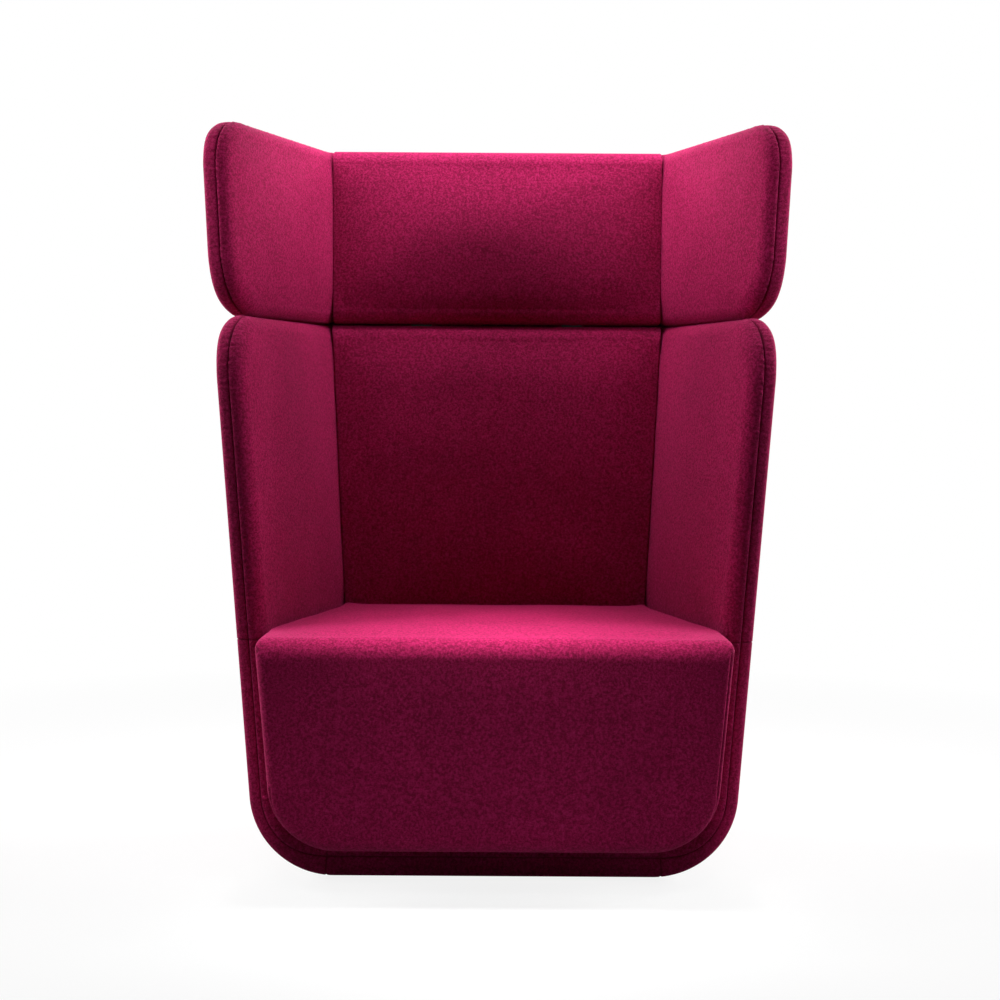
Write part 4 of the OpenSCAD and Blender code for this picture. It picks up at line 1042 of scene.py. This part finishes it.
def band_stations():
    """Sections from the short bottom seam round the corner to the cross seam, and how far each dips."""
    arc = CORNER_R * math.radians(BEND_TURN - RIM_SEAM_TURN)
    turns = np.linspace(RIM_SEAM_TURN, BEND_TURN, int(arc / BAND_STEP))
    z0 = FLOOR_GAP + CORNER_R - CORNER_R * cos(BEND_TURN)
    last_steps = SEAM_H - np.array([4.0, 2.6, 1.6, 0.8, 0.25])
    heights = np.concatenate([np.arange(z0 + BAND_STEP, SEAM_H - 5, BAND_STEP), last_steps])
    sections = [(bend_section(t), CORNER_R * math.radians(t - RIM_SEAM_TURN)) for t in turns]
    sections += [(rise_section(z), arc + z - z0) for z in heights]
    total = sections[-1][1]
    return [(section, s, end_dip(s, total)) for section, s in sections]


def end_dip(s, total):
    off = min(s, total - s)
    return END_DIP * math.exp(-(off / 1.3) ** 2)


def middle_stations():
    """Sections of the bottom rim from its right short seam to where it gets flat."""
    return [(bend_section(t), CORNER_R * math.radians(t)) for t in np.linspace(RIM_SEAM_TURN - 0.1, 0, 7)]


def band_grid(ring, seed):
    """A band round a lower corner, as rings across it."""
    grid, seam = [], []
    stations = band_stations()
    wave = ripple(np.array([s for _, s, _ in stations]), seed) * 0.35
    for (section, _, dip), pucker in zip(stations, wave):
        points, seam_shades = ring(section, dip, pucker)
        grid.append(points)
        # Painted shade along the seam and, darker still, at the short seams at the band's ends.
        seam.append(np.maximum(seam_shades, min(1.0, dip / END_DIP)))
    return np.array(grid), np.array(seam)


def middle_grid(ring, **depth):
    """The bottom rim's middle: its end sections on both sides, with straight runs between them."""
    half, seam_shades = [], []
    for section, s in middle_stations():
        dip = end_dip(CORNER_R * math.radians(RIM_SEAM_TURN) - s, INSIDE_W)
        p, m = ring(section, dip, 0.0, **depth)
        half.append(p)
        # Painted shade along the seam and at the short seams at the ends.
        seam_shades.append(np.maximum(m, min(1.0, dip / END_DIP)))
    last = half[-1]
    across = [last + (mirrored(last) - last) * t for t in np.linspace(0, 1, 90)[1:-1]]
    grid = np.array(half + across + [mirrored(p) for p in half[::-1]])
    seam = np.array(seam_shades + [seam_shades[-1]] * len(across) + seam_shades[::-1])
    return grid, seam


def stud_drill():
    """One upright rod in the place of each glide's stud, as wide as its hole in the bottom cover."""
    round_way = np.linspace(0, 2 * math.pi, HOLE_POINTS, endpoint=False)
    circle = GLIDE_HOLE_R * np.stack([np.cos(round_way), np.sin(round_way)], -1)
    points, faces = [], []
    for place in GLIDE_PLACES:
        low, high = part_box("glide_stud_" + place)
        centre = (low + high) * 500
        first = len(points)
        for z in (-HOLE_REACH, FLOOR_GAP + OUTER_T + HOLE_REACH):
            points += [(centre.x + x, centre.y + y, z) for x, y in circle]
        faces += [[first + number for number in face] for face in ring_faces(2, HOLE_POINTS)]
    mesh = bpy.data.meshes.new("stud_drill")
    mesh.from_pydata([Vector(point) * 0.001 for point in points], [], faces)
    return add_piece("stud_drill", mesh)


def open_for_glides(piece):
    """Cuts a clean round hole for each glide's stud, so that the glides slide freely through the cover."""
    drill = stud_drill()
    cut = piece.modifiers.new("Holes", "BOOLEAN")
    cut.operation = "DIFFERENCE"
    cut.solver = "EXACT"
    cut.object = drill
    whole = piece.data
    mesh = bpy.data.meshes.new_from_object(piece.evaluated_get(bpy.context.evaluated_depsgraph_get()))
    piece.modifiers.clear()
    piece.data = mesh
    bpy.data.meshes.remove(whole)
    mesh.name = piece.name
    mesh.set_sharp_from_angle(angle=math.radians(60))
    remove_piece(drill)
    return piece


def make_rims(finishes):
    grid, seam = band_grid(outer_band_ring, 31)
    upholster_pair("rim_outer_upholstery", grid, seam, finishes, ["side_outer_cover"], FIRM)
    grid, seam = band_grid(inner_band_ring, 32)
    upholster_pair("rim_inner_upholstery", grid, seam, finishes, ["rim_pad"], FIRM)
    grid, seam = middle_grid(outer_band_ring)
    bottom = open_for_glides(build_mesh("rim_bottom_upholstery", grid, seam))
    upholster(bottom, finishes, ["bottom_cover"], FIRM)
    grid, seam = middle_grid(inner_band_ring, deep=RIM_PAD_W)
    upholster(build_mesh("rim_front_upholstery", grid, seam), finishes, ["rim_pad_front"], FIRM)


# The seat block
SEAT_WIDE_Y = rim_face_y(SEAT_H)
SEAT_DEPTH = back_face_y(SEAT_H) - SEAT_FRONT_Y
SEAT_SEAM_TURN = 48.0   # where the side seam lies on the rounded front edge, in degrees from the side
EAR_H, EAR_REACH = 5.0, 26.0    # how far the rear top corners of the seat stand up, and how wide
SEAT_PLUMP = 6.0        # how far the seat's cloth may swell
SEAM_REACH = 14.0       # how far a sewn line bends the cloth beside it
SEAM_GAP = 60           # how many points before the middle of the bottom each sewn line begins
SEAM_TURN_STEPS = 8     # in how many steps it rounds the top front corner
SEAM_TURN_RINGS = 9     # and over how many rings of the top


def fillet(d, r):
    return 0.0 if d >= r else r - math.sqrt(r * r - (r - d) ** 2)


def seat_y(t, z):
    return SEAT_FRONT_Y + FRONT_CROWN + (back_face_y(z) - 1 - SEAT_GAP - SEAT_FRONT_Y - FRONT_CROWN) * t


def seat_half(y, z):
    return wall_x(SIDE, np.maximum(y, SEAT_WIDE_Y), z, WALL_T + WALL_CROWN) - SEAT_GAP


def seat_outline(t):
    z0, z1 = SEAT_BOTTOM_Z, SEAT_H - t * SEAT_DEPTH * tan(SEAT_PITCH)
    half0, half1 = seat_half(seat_y(t, z0), z0), seat_half(seat_y(t, z1), z1)
    return [(-half0, z0), (half0, z0), (half1, z1), (-half1, z1)]


class SeatLine(Outline):
    """The seat's cross-section, whose sides and corner arcs have a fixed number of points."""

    def __init__(self, corners):
        self.corners = np.array(corners, float)
        self.radii = [SEAT_CORNER_R, SEAT_CORNER_R, SEAT_SIDE_R, SEAT_SIDE_R]
        self.side_counts = [230, 62, 232, 62]
        self.arc_counts = [52, 52, 13, 13]


def seat_ring(t, moves):
    """One cross-section of the seat, with its crown across the top."""
    p = SeatLine(seat_outline(t)).moved(moves)
    half = np.abs(p[:, 0]).max()
    z1 = SEAT_H - t * SEAT_DEPTH * tan(SEAT_PITCH)
    s = np.clip((p[:, 0] + half) / (2 * half), 0, 1)
    high = np.clip((p[:, 1] - (z1 - SEAT_SIDE_R - moves[2])) / SEAT_SIDE_R, 0, 1)
    lift = SEAT_CROWN * 16 * t * (1 - t) * s * (1 - s) * high
    from_rear, from_side = (1 - t) * SEAT_DEPTH / EAR_REACH, (half - np.abs(p[:, 0])) / EAR_REACH
    ear = EAR_H * math.exp(-from_rear ** 2) * np.exp(-from_side ** 2) * high
    return np.stack([p[:, 0], seat_y(t, p[:, 1]), p[:, 1] + lift + ear], -1)


FACE_SHARES = [0.015, 0.08, 0.16, 0.24, 0.32, 0.40, 0.48, 0.56, 0.64, 0.71, 0.78, 0.84, 0.89, 0.93, 0.965]
EDGE_TURNS = [84, 76, 68, 60, 54, 50, SEAT_SEAM_TURN, 46, 42, 35, 26, 17, 8, 0]


def seat_grid():
    """Rings from the front face's middle out to its edge, back along the seat, and closing on the rear."""
    rings, kinds = [], []
    front = seat_ring(0, [SEAT_BOTTOM_R, SEAT_SIDE_R, SEAT_FRONT_R, SEAT_SIDE_R])
    middle = front.mean(0)
    for share in FACE_SHARES:
        p = middle + (front - middle) * share
        off = np.abs(p - middle) / np.abs(front - middle).max(0)
        p[:, 1] -= FRONT_SWELL * (1 - off[:, 0] ** 4) * (1 - off[:, 2] ** 3)
        rings.append(p)
        kinds.append("face")
    rings.append(front)
    kinds.append("front")
    for a in EDGE_TURNS:
        d = SEAT_SIDE_R * (1 - sin(a))
        rings.append(seat_ring(d / SEAT_DEPTH, edge_fillets(d)))
        kinds.append("seam" if a == SEAT_SEAM_TURN else "edge")
    rounded = np.linspace(SEAT_SIDE_R, SEAT_FRONT_R, 10)[1:]
    straight = np.linspace(SEAT_FRONT_R, SEAT_DEPTH - SEAT_SIDE_R, 72)[1:]
    for d in np.concatenate([rounded, straight]):
        rings.append(seat_ring(d / SEAT_DEPTH, edge_fillets(d)))
        kinds.append("body")
    for a in (20, 40, 60, 75, 90):
        t = 1 - SEAT_SIDE_R * (1 - sin(a)) / SEAT_DEPTH
        rings.append(seat_ring(t, [SEAT_SIDE_R * (1 - cos(a))] * 4))
        kinds.append("rear")
    rear = rings[-1]
    middle = rear.mean(0)
    for share in (0.8, 0.6, 0.4, 0.2, 0.02):
        rings.append(middle + (rear - middle) * share)
        kinds.append("rear")
    return np.array(rings), kinds


def edge_fillets(d):
    return [fillet(d, SEAT_BOTTOM_R), fillet(d, SEAT_SIDE_R), fillet(d, SEAT_FRONT_R), fillet(d, SEAT_SIDE_R)]


def seat_seam_path(grid, kinds):
    """The sewn line: across the bottom of the front, up its sides, and back along the top's side edges."""
    ring = kinds.index("seam")
    line = SeatLine(seat_outline(0))
    at = np.cumsum([0] + [c for pair in zip(line.arc_counts, line.side_counts) for c in pair])
    right_top, left_top = (at[4], at[5]), (at[6], at[7])
    low_right, low_left = (at[2], at[3]), (at[0], at[1])
    count = grid.shape[1]
    first_body = kinds.index("body")
    paths = []
    for span, corner, down in ((right_top, low_right, -1), (left_top, low_left, 1)):
        mid = (span[0] + span[1] - 1) // 2
        near = span[0] if down < 0 else span[1] - 1
        reach = abs(mid - near)
        turn_start, turn_end = (corner[1], corner[0]) if down < 0 else (corner[0], corner[1])
        path = []
        for k in range(count // 2 - SEAM_GAP, -1, -1):
            j = (near + down * k) % count
            under = np.clip((turn_start - j) / (turn_start - turn_end), 0, 1)
            path.append(grid[int(round(ring + (first_body + 3 - ring) * under ** 0.7)), j])
        for k in range(1, SEAM_TURN_STEPS + 1):
            share = k / SEAM_TURN_STEPS
            j = int(round(near - down * reach * share))
            i = int(round(ring + (first_body + SEAM_TURN_RINGS - ring) * share ** 1.3))
            path.append(grid[i, j % count])
        for i in range(first_body + SEAM_TURN_RINGS + 1, len(kinds) - 8):
            path.append(grid[i, mid % count])
        paths.append(np.array(path))
    return paths


def dense(path, step=1.2):
    """The same path with points no further apart than the step."""
    pts = [path[:1]]
    for a, b in zip(path[:-1], path[1:]):
        count = max(1, int(np.linalg.norm(b - a) / step))
        pts.append(a + (b - a) * (np.arange(1, count + 1)[:, None] / count))
    return np.concatenate(pts)


def sewn_in(grid, paths, depth, width, pucker, seed):
    """Draws a seam into a grid: a narrow valley with a soft welt and puckers beside it, and a painted shade
    line along it.
    """
    seam = np.zeros(grid.shape[:2])
    move = np.zeros(grid.shape[:2])
    normals = grid_normals(grid)
    flat = grid.reshape(-1, 3)
    for path in paths:
        pts = dense(path)
        s = np.concatenate([[0], np.cumsum(np.linalg.norm(np.diff(pts, axis=0), axis=1))])
        wave = ripple(s, seed)
        tree = near_tree(pts)
        low, high = pts.min(0) - SEAM_REACH, pts.max(0) + SEAM_REACH
        near = np.nonzero(((flat > low) & (flat < high)).all(1))[0]
        for k in near:
            _, at, away = tree.find(flat[k])
            if away > SEAM_REACH:
                continue
            i, j = divmod(k, grid.shape[1])
            valley = depth * math.exp(-(away / width) ** 2)
            welt = 0.45 * math.exp(-((away - 3.6) / 2.2) ** 2)
            gather = pucker * wave[at] * math.exp(-((away - 4.0) / 3.5) ** 2)
            move[i, j] = welt + gather - valley
            # Painted shade: a dark line along the seam.
            seam[i, j] = max(seam[i, j], math.exp(-(away / (0.8 * width)) ** 2))
    return grid + normals * move[..., None], seam


def queue_seat():
    grid, kinds = seat_grid()
    return grid, kinds, plump_later(grid, seat_freedom(grid), SEAT_PLUMP, ring_step=2, point_step=6)


def seat_freedom(grid):
    """How freely each point of the seat may swell: its top most, its front less, the rest hardly."""
    y, z = grid[..., 1], grid[..., 2]
    normals = grid_normals(grid)
    top = np.clip((normals[..., 2] - 0.35) / 0.4, 0, 1)
    front = 0.5 * np.clip((-normals[..., 1] - 0.35) / 0.4, 0, 1)
    loose_side = np.clip((SEAT_WIDE_Y - 25 - y) / 60, 0, 1) * np.clip(1 - np.abs(normals[..., 2]), 0, 1)
    below = np.clip((z - SEAT_BOTTOM_Z - 4) / 30, 0, 1)
    return np.maximum(np.maximum(top, front), 0.35 * loose_side) * below


def make_seat(finishes, grid, kinds, job):
    grid = grid + job["swell"]
    soft = softness(grid, 41, size=170.0, height=1.3) * seat_freedom(grid)
    grid = grid + grid_normals(grid) * soft[..., None]
    grid, seam = sewn_in(grid, seat_seam_path(grid, kinds), depth=2.4, width=1.9, pucker=0.35, seed=42)
    upholster(build_mesh("seat_upholstery", grid, seam), finishes, ["seat_cover"], SOFT)


# Floor, light and camera
def seen_by_lens(tree):
    """1 for what the lens sees, also in a reflection or through glass, and 0 for light between things."""
    path = tree.nodes.new("ShaderNodeLightPath")
    indirect = math_node(tree, "MAXIMUM", path.outputs["Is Glossy Ray"], path.outputs["Is Transmission Ray"])
    return math_node(tree, "MAXIMUM", path.outputs["Is Camera Ray"], indirect)


def mixed(tree, share, first, second):
    mix = add_node(tree, "MixShader", Fac=share)
    tree.links.new(first, mix.inputs[1])
    tree.links.new(second, mix.inputs[2])
    return mix.outputs["Shader"]


FLOOR_HALF = 14.0


def make_floor():
    """A plain pale floor that keeps the chair's soft shadow and fades into the white studio further out."""
    mesh = bpy.data.meshes.new("studio_floor")
    corners = [(FLOOR_HALF * x, FLOOR_HALF * y, 0) for x, y in ((-1, -1), (1, -1), (1, 1), (-1, 1))]
    mesh.from_pydata(corners, [], [(0, 1, 2, 3)])
    floor = add_piece("studio_floor", mesh)
    material, tree, shader = new_material("pale_floor", Roughness=0.9, Specular_IOR_Level=0.1)
    shader.inputs["Base Color"].default_value = (0.86, 0.86, 0.86, 1)
    matt = add_node(tree, "BsdfDiffuse", Color=(0.18, 0.18, 0.18, 1))
    glow = add_node(tree, "Emission", Strength=1.0)
    middle = add_node(tree, "TexGradient", Vector=stretched(tree, object_place(tree), (0.45, 0.45, 0.45)))
    middle.gradient_type = "SPHERICAL"
    white = ramp(tree, middle.outputs["Fac"], 0.0, 0.55, 1.0, 0.86)
    shown = mixed(tree, white, shader.outputs["BSDF"], glow.outputs["Emission"])
    surface = mixed(tree, seen_by_lens(tree), matt.outputs["BSDF"], shown)
    tree.links.new(surface, tree.nodes["Material Output"].inputs["Surface"])
    mesh.materials.append(material)


def make_world():
    world = bpy.data.worlds.new("studio")
    world.use_nodes = True
    bpy.context.scene.world = world
    tree = world.node_tree
    back = tree.nodes["Background"]
    back.inputs["Color"].default_value = (1, 1, 1, 1)
    back.inputs["Strength"].default_value = 0.03
    white = add_node(tree, "Background", Color=(1, 1, 1, 1), Strength=1.0)
    shown = mixed(tree, seen_by_lens(tree), back.outputs["Background"], white.outputs["Background"])
    tree.links.new(shown, tree.nodes["World Output"].inputs["Surface"])


def soft_box(name, place, aim, width, height, power, spread=180.0):
    """A soft box in metres and watts; its grid lets the light out within the spread, in degrees."""
    light = bpy.data.lights.new(name, "AREA")
    light.shape = "RECTANGLE"
    light.size = width
    light.size_y = height
    light.energy = power
    light.spread = math.radians(spread)
    lamp = add_piece(name, light)
    lamp.location = place
    lamp.visible_camera = False
    lamp.rotation_euler = (Vector(aim) - Vector(place)).to_track_quat("-Z", "Y").to_euler()


def make_lights():
    """Soft boxes, most with grids, so that tops and wings are bright and the shell's inside lies in shade."""
    soft_box("head_box", (0, 0.30, 1.72), (0, 0.33, 1.0), 1.8, 0.25, 7.4, 120)
    soft_box("overhead_box", (0, 0.08, 1.80), (0, 0.25, 1.2), 1.8, 0.3, 1.3, 120)
    soft_box("rear_top_box", (0, 0.95, 3.4), (0, -0.1, 0.43), 0.5, 0.3, 0.6, 28)
    soft_box("seat_box", (0, -0.40, 2.6), (0, -0.40, 0.43), 0.4, 0.3, 1.7, 22)
    soft_box("seat_front_box", (0, -2.6, 2.6), (0, -0.42, 0.20), 1.3, 0.2, 0.39, 14)
    for side in (-1, 1):
        soft_box("wing_box", (2.6 * side, -1.6, 1.9), (0, 0, 1.16), 1.0, 0.5, 0.75, 20)
        soft_box("side_box", (3.2 * side, 0.1, 1.8), (0, 0, 0.6), 1.2, 1.4, 12, 60)
        soft_box("rear_side_box", (2.8 * side, 1.7, 1.7), (0, 0.1, 0.6), 1.0, 1.4, 12, 60)
    soft_box("rear_box", (0, 3.4, 2.2), (0, 0, 0.7), 2.4, 1.6, 45)


def make_camera():
    camera = bpy.data.cameras.new("photo_camera")
    camera.sensor_width = 36.0
    camera.lens = 65.6
    camera.shift_x = 0.0037
    camera.shift_y = -0.1140
    camera.clip_end = 60
    item = add_piece("photo_camera", camera)
    item.location = (0, -3.2998, 0.832)
    item.rotation_euler = (math.radians(90), math.radians(-0.35), 0)
    bpy.context.scene.camera = item


# Putting it together
bpy.context.scene.view_settings.view_transform = "Standard"
make_camera()
make_world()
make_lights()
make_floor()
finishes = make_finishes()
finish_inner_parts(finishes)
queue_walls()
queue_backs()
seat_points, seat_kinds, seat_job = queue_seat()
run_cloth()
make_queued(finishes)
make_rims(finishes)
make_seat(finishes, seat_points, seat_kinds, seat_job)
